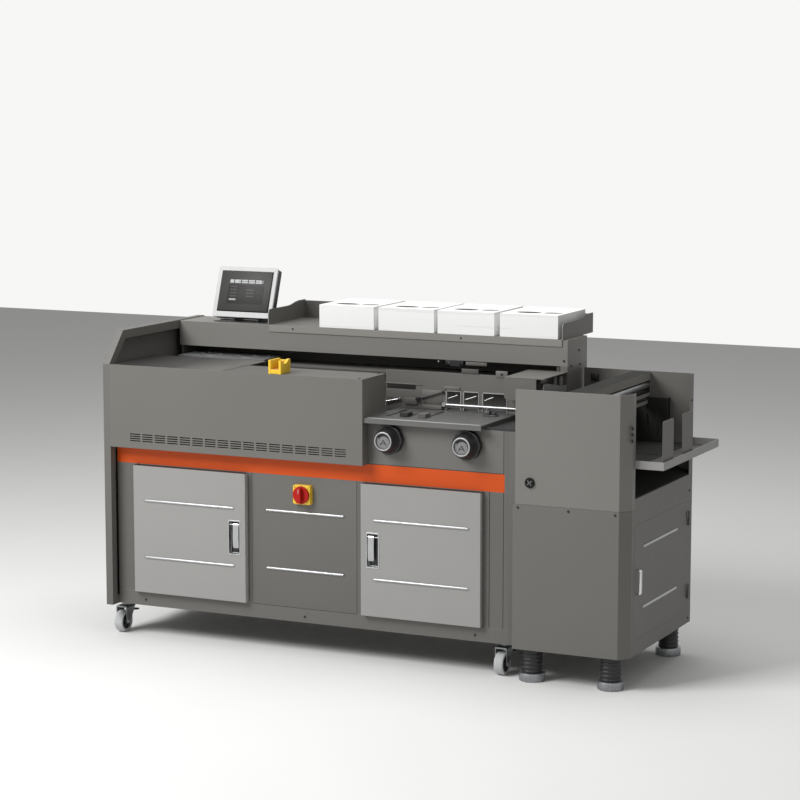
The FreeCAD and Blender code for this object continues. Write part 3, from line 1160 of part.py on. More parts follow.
# Slotted side plate over the cover deck, stepped down under the head and folded to the rear skin
plate_y = MOD_BACK - SIDE_PLATE_IN - SIDE_PLATE_T
plate_end = HEAD_X + SIDE_PLATE_L
plate_top = DECK2_Z + SIDE_PLATE_H
plate_low = DECK2_Z + SIDE_PLATE_UP
side_plate = box(HEAD_X, plate_end, plate_y, plate_y + SIDE_PLATE_T, plate_low, plate_top)
side_plate = side_plate.cut(box(HEAD_X, HEAD_X + HEAD_W + GAP, plate_y, plate_y + SIDE_PLATE_T,
                                HEAD_LOW - GAP, plate_top))
for x in SIDE_SLOTS:
    side_plate = side_plate.cut(box(HEAD_X + x, HEAD_X + x + SIDE_SLOT_W, plate_y, plate_y + SIDE_PLATE_T,
                                    DECK2_Z + SIDE_SLOT_UP, DECK2_Z + SIDE_SLOT_UP + SIDE_SLOT_H))
fold = box(plate_end - SIDE_PLATE_T, plate_end, plate_y + SIDE_PLATE_T, MOD_BACK, plate_low, plate_top)
add("feeder_works", side_plate.fuse(fold).removeSplitter())

tray_x1 = MOD_END + TRAY_L
tray = box(MOD_END, tray_x1, TRAY_Y, TRAY_Y + TRAY_D, DECK2_Z - SHEET, DECK2_Z - SHEET + TRAY_RIM)
tray = tray.cut(box(MOD_END, tray_x1 - SKIN, TRAY_Y + SKIN, TRAY_Y + TRAY_D - SKIN, DECK2_Z,
                    DECK2_Z - SHEET + TRAY_RIM))
add("cover_tray", tray)


def end_stop(y0):
    """Upright plate with a foot that slides on the tray floor."""
    x1 = tray_x1 - SKIN - STOP_SET
    plate = box(x1 - SKIN, x1, y0, y0 + STOP_W, DECK2_Z + GAP, DECK2_Z + STOP_H)
    top = [e for e in plate.Edges if e.CenterOfMass.z > DECK2_Z + STOP_H - SEAM and e.Length < 2 * SKIN]
    plate = plate.makeFillet(STOP_R, top)
    foot = box(x1 - STOP_FOOT, x1 - SKIN, y0 + STOP_R, y0 + STOP_W - STOP_R,
               DECK2_Z + GAP, DECK2_Z + GAP + SKIN)
    return plate.fuse(foot).removeSplitter()


add("end_stops", *[end_stop(TRAY_Y + y) for y in STOP_IN])

lock_back = -GAP
lock = rod(Y, LOCK_X, lock_back - LOCK_T, LOCK_Z, LOCK_R, LOCK_T)
cam = box(LOCK_X - LOCK_CAM_W / 2, LOCK_X + LOCK_CAM_L, SHEET + LOCK_T, SHEET + LOCK_T + SHEET,
          LOCK_Z - LOCK_CAM_W / 2, LOCK_Z + LOCK_CAM_W / 2)
lock = lock.fuse([rod(Y, LOCK_X, lock_back, LOCK_Z, SHAFT_R, GAP + SHEET + LOCK_T), cam]).removeSplitter()
add("quarter_turn_lock", lock)


# ---------------------------------------------------------------------------
# Castors, levelling feet and black fittings
# ---------------------------------------------------------------------------

fork_top = FRAME_Z - CASTOR_PLATE_T - GAP
fork_wide = CASTOR_W + 2 * (FORK_T + WHEEL_SIDE)
pedal_z = fork_top - CROWN_T - PEDAL_DROP


def castor_plate(x, y):
    """Top plate with the bore of the kingpin."""
    low = FRAME_Z - CASTOR_PLATE_T
    plate = box(x - CASTOR_PLATE_W / 2, x + CASTOR_PLATE_W / 2, y - CASTOR_PLATE_D / 2, y + CASTOR_PLATE_D / 2,
                low, FRAME_Z)
    return plate.cut(rod(Z, x, y, low, KING_R + RUN, CASTOR_PLATE_T))


def castor_fork(x, y):
    """Swivelling fork: crown, two tapered legs, kingpin and brake pedal."""
    wheel_y = y - CASTOR_TRAIL
    crown = box(x - CROWN_W / 2, x + CROWN_W / 2, y - CROWN_W / 2, y + CROWN_BACK,
                fork_top - CROWN_T, fork_top)
    bridge = box(x - fork_wide / 2, x + fork_wide / 2, wheel_y - LEG_TOP, y + CROWN_BACK,
                 fork_top - CROWN_T - FORK_T, fork_top - CROWN_T)
    legs = []
    for x0 in (x - fork_wide / 2, x + fork_wide / 2 - FORK_T):
        points = [V(x0, wheel_y - LEG_TIP, CASTOR_R - LEG_TIP), V(x0, wheel_y + LEG_TIP, CASTOR_R - LEG_TIP),
                  V(x0, y + CROWN_BACK, fork_top - CROWN_T), V(x0, wheel_y - LEG_TOP, fork_top - CROWN_T)]
        legs.append(prism(points, X * FORK_T))
    axle = rod(X, x - fork_wide / 2 + FORK_T, wheel_y, CASTOR_R, AXLE_R, fork_wide - 2 * FORK_T)
    pin = rod(Z, x, y, fork_top, KING_R, CASTOR_PLATE_T + GAP)
    pedal = box(x - PEDAL_W / 2, x + PEDAL_W / 2, y + CROWN_BACK, y + CROWN_BACK + PEDAL_L,
                pedal_z, pedal_z + PEDAL_T)
    stalk = box(x - PEDAL_W / 2, x + PEDAL_W / 2, y + CROWN_BACK - FORK_T, y + CROWN_BACK,
                pedal_z, fork_top - CROWN_T)
    return crown.fuse([bridge, pin, axle, pedal, stalk] + legs).removeSplitter()


def castor_wheel(x, y):
    """Wheel bored for the fork's axle."""
    wheel_y = y - CASTOR_TRAIL
    tread = rod(X, x - CASTOR_W / 2, wheel_y, CASTOR_R, CASTOR_R, CASTOR_W)
    return tread.cut(rod(X, x - CASTOR_W / 2, wheel_y, CASTOR_R, AXLE_R + RUN, CASTOR_W))


for i, (x, y) in enumerate(CASTOR_AT):
    add("castor_fork_%d" % (i + 1), castor_fork(x, y))
    add("castor_wheel_%d" % (i + 1), castor_wheel(x, y))


def sleeve(x, y):
    """Sleeve of a levelling foot."""
    low = PAD_H + GAP
    body = rod(Z, x, y, low, SLEEVE_R, FRAME_Z - low)
    return body.cut(rod(Z, x, y, low, STEM_R + RUN, FRAME_Z - low))


def foot(x, y):
    """Pad and stem of a levelling foot."""
    pad = rod(Z, x, y, 0, PAD_R, PAD_H)
    return pad.fuse(rod(Z, x, y, PAD_H, STEM_R, FRAME_Z - PAD_H - GAP)).removeSplitter()


for i, (x, y) in enumerate(FOOT_AT):
    add("foot_%d" % (i + 1), foot(x, y))

gland = rod(Y, GLAND_X, MAIN_D, GLAND_Z, GLAND_R, GLAND_L)
gland = gland.cut(rod(Y, GLAND_X, MAIN_D, GLAND_Z, GLAND_BORE_R, GLAND_L))
sensor = box(SENSOR_X, SENSOR_X + SENSOR_W, BEAM_Y, BEAM_Y + SENSOR_D, BEAM_Z - SENSOR_H, BEAM_Z)
add("black_fittings",
    *[castor_plate(x, y) for x, y in CASTOR_AT],
    *[sleeve(x, y) for x, y in FOOT_AT],
    gland, sensor)


# ---------------------------------------------------------------------------
# Touch screen on its stand
# ---------------------------------------------------------------------------

lean = math.radians(SCREEN_LEAN)
screen_origin = V(SCREEN_X, SCREEN_Y, SCREEN_Z)


def leaned(shape):
    """Lean a shape made upright at the screen's lower front edge."""
    shape.rotate(V(0, 0, 0), X, -SCREEN_LEAN)
    shape.translate(screen_origin)
    return shape


glass_y = GLASS_IN + GLASS_T
case = box(0, SCREEN_W, 0, SCREEN_T, 0, SCREEN_H)
case = case.makeFillet(SCREEN_R, [e for e in case.Edges if abs(e.Length - SCREEN_T) < 0.1])
case = case.cut(box(SCREEN_BEZEL, SCREEN_W - SCREEN_BEZEL, 0, glass_y,
                    SCREEN_CHIN, SCREEN_H - SCREEN_BEZEL))
neck_x = (SCREEN_W - NECK_W) / 2
pivot_in = SCREEN_T + PIVOT_BACK
neck = box(neck_x, neck_x + NECK_W, SCREEN_T, SCREEN_T + NECK_L, NECK_LOW, NECK_HIGH)
neck = neck.cut(rod(X, neck_x, pivot_in, PIVOT_UP, PIVOT_R + RUN, NECK_W))
add("screen_housing", leaned(case.fuse(neck).removeSplitter()))
glass = box(SCREEN_BEZEL, SCREEN_W - SCREEN_BEZEL, GLASS_IN, glass_y, SCREEN_CHIN, SCREEN_H - SCREEN_BEZEL)
add("screen_glass", leaned(glass))

pivot_y = SCREEN_Y + pivot_in * math.cos(lean) + PIVOT_UP * math.sin(lean)
pivot_z = SCREEN_Z - pivot_in * math.sin(lean) + PIVOT_UP * math.cos(lean)
ear_xs = (SCREEN_X + neck_x - EAR_T - GAP, SCREEN_X + neck_x + NECK_W + GAP)
base = box(SCREEN_X + STAND_INSET, SCREEN_X + SCREEN_W - STAND_INSET, pivot_y - EAR_FRONT, pivot_y + STAND_BACK,
           BEAM_TOP, BEAM_TOP + STAND_H)
ears = [box(x, x + EAR_T, pivot_y - EAR_FRONT, pivot_y + STAND_BACK, BEAM_TOP + STAND_H, pivot_z + EAR_UP)
        for x in ear_xs]
pivot = rod(X, ear_xs[0], pivot_y, pivot_z, PIVOT_R, ear_xs[1] + EAR_T - ear_xs[0])
add("black_fittings", base, ears[0], ears[1], pivot.cut(ears))


# ---------------------------------------------------------------------------
# Place and write
# ---------------------------------------------------------------------------

everything = Part.makeCompound([s for solids in nodes.values() for s in solids])
limits = everything.optimalBoundingBox(False, False)
PLACE = V(-limits.Center.x, -limits.Center.y, -limits.ZMin)

for name, solids in nodes.items():
    shape = solids[0] if len(solids) == 1 else Part.makeCompound(solids)
    shape.translated(PLACE).exportStep("parts/" + name + ".step")
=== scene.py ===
"""Finishes and small pieces of a floor-standing perfect binder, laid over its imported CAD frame."""
import json
import math

import bmesh
import bpy
from bpy.props import FloatProperty, FloatVectorProperty, IntProperty, PointerProperty
from mathutils import Matrix, Vector


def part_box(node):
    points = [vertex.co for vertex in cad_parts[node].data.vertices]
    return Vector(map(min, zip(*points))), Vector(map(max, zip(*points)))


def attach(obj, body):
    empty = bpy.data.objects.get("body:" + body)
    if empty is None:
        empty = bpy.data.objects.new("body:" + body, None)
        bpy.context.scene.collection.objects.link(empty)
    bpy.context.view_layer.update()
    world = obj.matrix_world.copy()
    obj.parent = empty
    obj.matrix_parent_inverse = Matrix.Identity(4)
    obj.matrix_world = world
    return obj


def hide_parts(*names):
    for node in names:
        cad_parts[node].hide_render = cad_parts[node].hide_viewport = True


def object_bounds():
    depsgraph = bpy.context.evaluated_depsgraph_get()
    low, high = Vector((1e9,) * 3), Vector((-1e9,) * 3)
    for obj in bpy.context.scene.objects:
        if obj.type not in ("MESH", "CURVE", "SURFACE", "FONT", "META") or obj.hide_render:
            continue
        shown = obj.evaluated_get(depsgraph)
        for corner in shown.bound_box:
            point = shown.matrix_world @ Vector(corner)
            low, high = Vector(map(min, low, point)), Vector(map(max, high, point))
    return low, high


bl_info = {
    "name": "Perfect Binder Dressing",
    "version": (1, 0, 0),
    "blender": (4, 5, 0),
    "location": "3D View > Sidebar > Binder",
    "description": "Finishes and small pieces of a floor-standing perfect binder",
    "category": "Object",
}

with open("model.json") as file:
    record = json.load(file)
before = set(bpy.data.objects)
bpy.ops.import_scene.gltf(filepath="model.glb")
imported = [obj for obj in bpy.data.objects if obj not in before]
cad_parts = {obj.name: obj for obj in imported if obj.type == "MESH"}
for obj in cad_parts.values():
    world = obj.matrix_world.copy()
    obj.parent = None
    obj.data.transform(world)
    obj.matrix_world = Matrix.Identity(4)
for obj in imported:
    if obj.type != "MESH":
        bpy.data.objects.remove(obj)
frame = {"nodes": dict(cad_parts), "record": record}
CAD_BOX = [list(corner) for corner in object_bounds()]
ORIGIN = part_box("left_side_panel")[0]     # foot of the datum: left face, hood front
RECORD = {entry["slot"]: entry["base_color"] for entry in frame["record"]["materials"]}


def at(x, y, z):
    """Place in metres of a point given in millimetres from the left face, the hood front and the floor."""
    return Vector((ORIGIN.x + x / 1000, ORIGIN.y + y / 1000, z / 1000))


def shade(colour, factor):
    """A colour made lighter or darker, with its alpha."""
    return [min(1.0, part * factor) for part in colour[:3]] + [1.0]


# Sizes and colours that a user would change --------------------------------


def colour_property(name, description, slot):
    """Colour whose default is the record's own."""
    return FloatVectorProperty(name=name, description=description, subtype="COLOR", size=3,
                               min=0.0, max=1.0, default=RECORD[slot][:3])


def length_property(name, description, default, low=0.0002):
    """Small length in metres."""
    return FloatProperty(name=name, description=description, default=default, min=low, max=0.01, unit="LENGTH")


class BinderColours(bpy.types.PropertyGroup):
    """Colours of the machine."""
    cabinet: colour_property("Cabinet", "Powder coat of panels, hood, beam and module", "grey_paint")
    doors: colour_property("Doors", "Lighter powder coat of the doors and the tray", "light_paint")
    band: colour_property("Band", "Gloss paint of the band below the hood", "orange_paint")
    yellow: colour_property("Yellow parts", "Stop block and switch plate", "yellow_plastic")
    red: colour_property("Switch knob", "Knob of the main switch", "red_plastic")
    black: colour_property("Black parts", "Handwheels, lock, sleeves and castor plates", "black_plastic")
    paper: colour_property("Paper", "Book blocks on the rack", "paper")


class BinderSizes(bpy.types.PropertyGroup):
    """Sizes of the small pieces."""
    screw_radius: length_property("Screw head radius", "Radius of a cover screw's head", 0.0042, 0.001)
    screw_height: length_property("Screw head height", "How far a cover screw's head stands proud", 0.0016)
    dial_ticks: IntProperty(name="Dial ticks", description="Divisions round an indicator's dial", default=40,
                            min=4, max=120)
    sleeve_ribs: IntProperty(name="Sleeve ribs", description="Ribs on the sleeve of a levelling foot", default=6,
                             min=1, max=20)


class BinderStudio(bpy.types.PropertyGroup):
    """Camera and light."""
    azimuth: FloatProperty(name="Azimuth", description="Camera's turn to the right of the front",
                           default=math.radians(25.42), subtype="ANGLE")
    elevation: FloatProperty(name="Elevation", description="Camera's height above the horizon",
                             default=math.radians(7.86), subtype="ANGLE")
    distance: FloatProperty(name="Distance", description="Camera's distance from the point it looks at",
                            default=8.3046, min=1.0, unit="LENGTH")
    lens: FloatProperty(name="Lens", description="Focal length in millimetres on a 36 mm frame", default=111.29,
                        min=10.0)
    key: FloatProperty(name="Key light", description="Power of the soft light before the machine", default=275.0,
                       min=0.0, unit="POWER")
    sky: FloatProperty(name="Sky", description="Strength of the light from all round", default=0.24, min=0.0)


# Node trees ----------------------------------------------------------------


def maths(operation, swapped=False):
    """Method that adds one Math node; swapped puts the other value first."""
    def method(self, other=0.0):
        return self.graph.math(operation, *((other, self) if swapped else (self, other)))
    return method


class Wire:
    """A node's output socket; arithmetic on it adds Math nodes."""
    __add__, __radd__ = maths("ADD"), maths("ADD", True)
    __sub__, __rsub__ = maths("SUBTRACT"), maths("SUBTRACT", True)
    __mul__, __rmul__ = maths("MULTIPLY"), maths("MULTIPLY", True)
    __truediv__, __mod__ = maths("DIVIDE"), maths("FLOORED_MODULO")
    __gt__, __lt__ = maths("GREATER_THAN"), maths("LESS_THAN")

    def __init__(self, graph, socket):
        self.graph, self.socket = graph, socket


class Graph:
    """A node tree and the calls that fill it."""

    def __init__(self, tree):
        self.tree = tree
        tree.nodes.clear()

    def node(self, kind, settings=None, inputs=None, output=0):
        """Add a node: its settings first, then values or links of its sockets; returns one output."""
        made = self.tree.nodes.new(kind)
        for key, value in (settings or {}).items():
            if key == "stops":
                while len(made.color_ramp.elements) < len(value):
                    made.color_ramp.elements.new(0.5)
                for element, (position, colour) in zip(made.color_ramp.elements, value):
                    element.position, element.color = position, colour
            else:
                setattr(made, key, value)
        for key, value in (inputs or {}).items():
            socket = made.inputs[key]
            for entry in value if isinstance(value, list) and value and isinstance(value[0], Wire) else [value]:
                if isinstance(entry, Wire):
                    self.tree.links.new(entry.socket, socket)
                else:
                    socket.default_value = entry
        return Wire(self, made.outputs[output]) if len(made.outputs) else None

    def math(self, operation, first, second=0.0):
        """One Math node."""
        return self.node("ShaderNodeMath", {"operation": operation}, {0: first, 1: second})


class Finish(Graph):
    """A material's tree: patterns on Object coordinates that end in one shader."""

    def __init__(self, name):
        self.material = bpy.data.materials.new(name)
        self.material.use_nodes = True
        super().__init__(self.material.node_tree)
        self.place = self.node("ShaderNodeTexCoord", output=3)

    def split(self, vector):
        """One wire for each axis of a vector."""
        parts = self.node("ShaderNodeSeparateXYZ", inputs={0: vector}).socket.node.outputs
        return [Wire(self, part) for part in parts]

    def axes(self):
        """Object coordinates in metres, one wire for each axis."""
        return self.split(self.place)

    def facing(self):
        """True normal, one wire for each axis."""
        return self.split(self.node("ShaderNodeNewGeometry", output=1))

    def noise(self, scale, detail=2.0, stretch=(1, 1, 1)):
        """Noise from 0 to 1; scale is in features per metre, stretch multiplies it along each axis."""
        where = self.node("ShaderNodeMapping", inputs={"Vector": self.place, "Scale": stretch})
        return self.node("ShaderNodeTexNoise", inputs={"Vector": where, "Scale": scale, "Detail": detail})

    def mix(self, factor, first, second):
        """Colour between two colours."""
        return self.node("ShaderNodeMix", {"data_type": "RGBA"}, {0: factor, 6: first, 7: second}, output=2)

    def tint(self, factor, colour, low, high):
        """One colour between two of its shades."""
        return self.mix(factor, shade(colour, low), shade(colour, high))

    def rounded(self, radius):
        """Normal with the edges of the mesh softened."""
        return self.node("ShaderNodeBevel", {"samples": 4}, {"Radius": radius})

    def edge(self, soft):
        """Mask that is 1 along softened edges."""
        true = self.node("ShaderNodeNewGeometry", output=1)
        along = self.node("ShaderNodeVectorMath", {"operation": "DOT_PRODUCT"}, {0: soft, 1: true}, output=1)
        return self.math("MINIMUM", (1 - along) * 6.0, 1.0)

    def inside(self, spaces):
        """Mask that is 1 inside any of some boxes."""
        total = None
        for low, high in spaces:
            mask = None
            for axis, start, end in zip(self.axes(), low, high):
                part = (axis > start) * (axis < end)
                mask = mask * part if mask else part
            total = self.math("MAXIMUM", total, mask) if total else mask
        return total

    def bump(self, height, distance, normal=None):
        """Normal raised by a height."""
        inputs = {"Height": height, "Distance": distance, "Strength": 1.0}
        if normal:
            inputs["Normal"] = normal
        return self.node("ShaderNodeBump", inputs=inputs)

    def close(self, colour, roughness, metallic=0.0, normal=None, gloss=0.5, **constants):
        """End in one Principled shader; constants are set on its own sockets."""
        inputs = {"Base Color": colour, "Roughness": roughness, "Metallic": metallic, "Specular IOR Level": gloss}
        if normal:
            inputs["Normal"] = normal
        inputs.update({key.replace("_", " "): value for key, value in constants.items()})
        shader = self.node("ShaderNodeBsdfPrincipled", inputs=inputs)
        self.node("ShaderNodeOutputMaterial", inputs={"Surface": shader})
        return self.material


# Finishes ------------------------------------------------------------------


FINE_GRAIN = 0.00005        # height in metres of the finest relief of a coat
FLOOR_DARKENING_HEIGHT = 0.72          # metres above the floor where the darkening of the cabinet towards the floor ends


def powder_coat(name, colour, roughness=0.42, cloud=0.05, dark_lines=(), floor_darkening=0.0, painted_light=None, gloss=0.5):
    """Powder coat: orange peel, faint clouds, a painted highlight along the edges, darker towards the floor, a second
    colour on chosen faces for painted light and shade, and dark lines for joints and painted shadows.
    """
    finish = Finish(name)
    soft = finish.rounded(0.0012)
    edge_highlight = finish.edge(soft)
    drift = finish.noise(2.6, 3.0)
    grime = finish.noise(34.0, 5.0)
    base = finish.tint(drift, colour, 1 - cloud, 1 + cloud)
    base = finish.mix(grime * 0.10, base, shade(colour, 0.80))
    # painted highlight along the softened edges
    base = finish.mix(edge_highlight * 0.45, base, shade(colour, 1.55))
    # darker towards the floor
    if floor_darkening:
        sunk = finish.math("MAXIMUM", 1 - finish.axes()[2] / FLOOR_DARKENING_HEIGHT, 0.0)
        base = finish.mix(sunk * floor_darkening, base, shade(colour, 0.3))
    # painted light and shade: a second colour on the faces that the mask picks
    if painted_light:
        cover, second = painted_light
        base = finish.mix(cover(finish.axes(), finish.facing()), base, second)
    # dark lines: real joints, and painted shadow lines along some edges
    if dark_lines:
        base = finish.mix(finish.inside(dark_lines), base, shade(colour, 0.12))
    peel = finish.noise(950.0, 1.0)
    return finish.close(base, roughness + grime * 0.10 - edge_highlight * 0.08, 0.0, finish.bump(peel, FINE_GRAIN, soft), gloss)


def gloss_paint(name, colour):
    """Smooth gloss paint with a slight ripple."""
    finish = Finish(name)
    soft = finish.rounded(0.001)
    ripple = finish.noise(26.0, 2.0)
    base = finish.tint(finish.noise(3.0), colour, 0.94, 1.05)
    # painted highlight along the softened edges
    base = finish.mix(finish.edge(soft) * 0.4, base, shade(colour, 1.35))
    return finish.close(base, 0.26 + ripple * 0.10, 0.0, finish.bump(ripple, 0.0001, soft), 0.2)


def moulded(name, colour, roughness=0.5, grain=620.0, depth=0.00008, gloss=0.5):
    """Moulded plastic with an etched grain."""
    finish = Finish(name)
    soft = finish.rounded(0.0008)
    etched = finish.noise(grain, 3.0)
    cloud = finish.noise(14.0, 3.0)
    base = finish.tint(cloud, colour, 0.9, 1.12)
    # painted highlight along the softened edges
    base = finish.mix(finish.edge(soft) * 0.35, base, shade([part + 0.02 for part in colour[:3]], 1.6))
    return finish.close(base, roughness + etched * 0.14 - 0.07, 0.0, finish.bump(etched, depth, soft), gloss)


def polished(name, colour, roughness=0.07):
    """Chrome with faint smudges."""
    finish = Finish(name)
    soft = finish.rounded(0.0008)
    smudge = finish.noise(48.0, 5.0)
    base = finish.tint(smudge, colour, 0.86, 1.08)
    return finish.close(base, roughness + smudge * 0.16, 1.0, finish.bump(finish.noise(160.0), 0.00002, soft))


def ground(name, colour, along=0, roughness=0.3, dark_lines=()):
    """Ground or brushed metal with its lines along one axis."""
    finish = Finish(name)
    soft = finish.rounded(0.0008)
    stretch = [1.0, 1.0, 1.0]
    stretch[along] = 0.03
    lines = finish.noise(900.0, 4.0, stretch)
    cloud = finish.noise(12.0, 4.0)
    base = finish.tint(lines, colour, 0.78, 1.14)
    base = finish.mix(cloud * 0.3, base, shade(colour, 0.72))
    if dark_lines:
        base = finish.mix(finish.inside(dark_lines), base, shade(colour, 0.15))
    return finish.close(base, roughness + lines * 0.16 + cloud * 0.08, 1.0, finish.bump(lines, 0.00004, soft))


def zinc_plate(name, colour):
    """Zinc plate with its spangle."""
    finish = Finish(name)
    soft = finish.rounded(0.0008)
    spangle = finish.node("ShaderNodeTexVoronoi", inputs={"Vector": finish.place, "Scale": 150.0}, output=1)
    grey = finish.node("ShaderNodeRGBToBW", inputs={0: spangle})
    cloud = finish.noise(22.0, 4.0)
    base = finish.tint(grey, colour, 0.82, 1.18)
    base = finish.mix(cloud * 0.35, base, shade(colour, 0.6))
    return finish.close(base, 0.32 + grey * 0.18, 0.9, finish.bump(grey, 0.00003, soft))


def tread(name, colour):
    """Grey rubber of a castor's tread, scuffed."""
    finish = Finish(name)
    scuff = finish.noise(90.0, 6.0)
    dust = finish.noise(18.0, 3.0)
    base = finish.tint(scuff, colour, 0.78, 1.12)
    base = finish.mix(dust * 0.35, base, shade(colour, 1.3))
    return finish.close(base, 0.62 + scuff * 0.2, normal=finish.bump(scuff, 0.0003))


def two_tone_and_painted_light(name, colour, second, choose, roughness=0.45, gloss=0.5):
    """Coat in two colours; choose gives the mask of the second one from the place and the way that a face looks. On the
    rack, the tray and the feeder the second colour is painted light and shade.
    """
    finish = Finish(name)
    soft = finish.rounded(0.001)
    grain = finish.noise(700.0, 2.0)
    cloud = finish.noise(9.0, 4.0)
    mask = choose(finish.axes(), finish.facing())
    base = finish.mix(mask, shade(colour, 1.0), shade(second, 1.0))
    base = finish.mix(cloud * 0.22, base, shade([(a + b) / 2 for a, b in zip(colour, second)], 0.7))
    # painted highlight along the softened edges
    base = finish.mix(finish.edge(soft) * 0.4, base, shade([max(a, b) for a, b in zip(colour, second)], 1.3))
    return finish.close(base, roughness + grain * 0.12, 0.0, finish.bump(grain, FINE_GRAIN, soft), gloss)


def trimmed_paper(name, colour, ovals):
    """Trimmed paper: page edges on the sides, smooth covers with plain oval marks on top."""
    finish = Finish(name)
    x, y = finish.axes()[:2]
    leaves = finish.noise(1.0, 3.0, (18.0, 18.0, 1400.0))
    books = finish.noise(1.0, 0.0, (2.0, 2.0, 75.0))
    side = finish.tint(leaves, colour, 0.93, 1.08)
    side = finish.mix((books > 0.66) * 0.22, side, shade(colour, 0.7))
    cover = finish.tint(finish.noise(30.0), colour, 1.02, 1.1)
    for middle_x, middle_y, half_x, half_y, tone in ovals:
        across, back = (x - middle_x) / half_x, (y - middle_y) / half_y
        cover = finish.mix(across * across + back * back < 1.0, cover, shade(colour, tone))
    base = finish.mix(finish.facing()[2] > 0.5, side, cover)
    return finish.close(base, 0.75 + leaves * 0.15, normal=finish.bump(leaves, 0.0002))


def display(name, low, wide, tall, lean):
    """Lit display of plain bars: a title row, two dim columns on a darker panel and one short bright bar, and a painted
    shadow of the frame along its right and bottom edges.
    """
    finish = Finish(name)
    x, y, z = finish.axes()
    across = (x - low.x) / wide
    up = ((z - low.z) * math.cos(lean) + (y - low.y) * math.sin(lean)) / tall

    def within(value, start, end):
        return (value > start) * (value < end)

    title = within(up, 0.71, 0.79) * within(across, 0.18, 0.82) * ((across * 7.4) % 1.0 < 0.86)
    pale = finish.math("MAXIMUM", title * (1 - within(up, 0.735, 0.765) * within(across, 0.34, 0.76) * 0.55),
                       within(up, 0.285, 0.325) * within(across, 0.20, 0.33) * 0.8)
    panel = within(up, 0.20, 0.67) * within(across, 0.16, 0.86)
    row = ((up - 0.20) * 13.0) % 1.0
    rows = within(row, 0.25, 0.70)
    left = rows * within(up, 0.34, 0.64) * within(across, 0.20, 0.33)
    right = rows * within(up, 0.34, 0.60) * within(across, 0.52, 0.66)
    smear = finish.noise(26.0, 4.0)
    face = finish.mix(smear, (0.042, 0.043, 0.041, 1), (0.050, 0.050, 0.048, 1))
    face = finish.mix(panel, face, (0.026, 0.025, 0.024, 1))
    # painted shadow of the frame along the right and bottom edges
    rim = finish.math("MAXIMUM", across > 0.972, up < 0.035)
    face = finish.mix(rim, face, (0.003, 0.003, 0.003, 1))
    lit = finish.math("MAXIMUM", pale, (left + right) * 0.09)
    glow = finish.mix(lit, (0.0, 0.0, 0.0, 1), (0.66, 0.67, 0.68, 1))
    return finish.close(face, 0.32 + smear * 0.12, gloss=0.12, Emission_Color=glow, Emission_Strength=0.85)


# Mesh forms, in millimetres from the datum ---------------------------------

FRONT = Matrix.Rotation(math.pi / 2, 4, "X")      # a form's +Z towards the operator
REAR = Matrix.Rotation(-math.pi / 2, 4, "X")
RIGHT = Matrix.Rotation(math.pi / 2, 4, "Y")
UP = Matrix.Identity(4)
SIDE = Matrix(((0, 0, 1, 0), (1, 0, 0, 0), (0, 1, 0, 0), (0, 0, 0, 1)))      # an outline in YZ, pushed along X


def placed(turn, x, y, z):
    """Turn a form, then carry it to a point."""
    return Matrix.Translation((x, y, z)) @ turn


def soften(bm, edges, radius):
    """Round some edges."""
    bmesh.ops.bevel(bm, geom=edges, offset=radius, segments=2, affect="EDGES", profile=0.5, clamp_overlap=True)


def slab(low, high, radius=0.0):
    """Box between two corners with rounded edges."""
    bm = bmesh.new()
    bmesh.ops.create_cube(bm, size=1)
    for vert in bm.verts:
        vert.co = Vector([a + (c + 0.5) * (b - a) for a, b, c in zip(low, high, vert.co)])
    if radius:
        soften(bm, list(bm.edges), radius)
    return bm


def lathe(profile, steps=48, closed=False):
    """Body of revolution about Z from (radius, height) points; closed joins the last to the first."""
    bm = bmesh.new()
    rings = []
    for radius, height in profile:
        count = steps if radius > 1e-6 else 1
        rings.append([bm.verts.new((*spoke(radius, 2 * math.pi * i / steps), height)) for i in range(count)])
    pairs = list(zip(rings, rings[1:])) + ([(rings[-1], rings[0])] if closed else [])
    for low, high in pairs:
        for i in range(steps):
            j = (i + 1) % steps
            corners = list(dict.fromkeys([low[i % len(low)], low[j % len(low)],
                                          high[j % len(high)], high[i % len(high)]]))
            if len(corners) > 2:
                bm.faces.new(corners)
    return bm


def spoke(radius, angle, centre=(0.0, 0.0)):
    """Point at a distance and an angle from a centre."""
    return centre[0] + radius * math.cos(angle), centre[1] + radius * math.sin(angle)


def mirrored(points, middle=0.0):
    """Points, then their mirror images across one height, back to the start."""
    return points + [(radius, 2 * middle - height) for radius, height in reversed(points)]


def drum(radius, low, high, steps=24):
    """Plain cylinder about Z."""
    return lathe([(0, low), (radius, low), (radius, high), (0, high)], steps)


def plate(outline, low, high, radius=0.0):
    """Flat outline in XY pushed from low to high, its edges rounded."""
    bm = bmesh.new()
    bottom = [bm.verts.new((x, y, low)) for x, y in outline]
    top = [bm.verts.new((x, y, high)) for x, y in outline]
    bm.faces.new(bottom[::-1])
    bm.faces.new(top)
    for i in range(len(outline)):
        j = (i + 1) % len(outline)
        bm.faces.new([bottom[i], bottom[j], top[j], top[i]])
    if radius:
        rims = [edge for edge in bm.edges if abs(edge.verts[0].co.z - edge.verts[1].co.z) < 1e-6]
        soften(bm, rims, radius)
    return bm


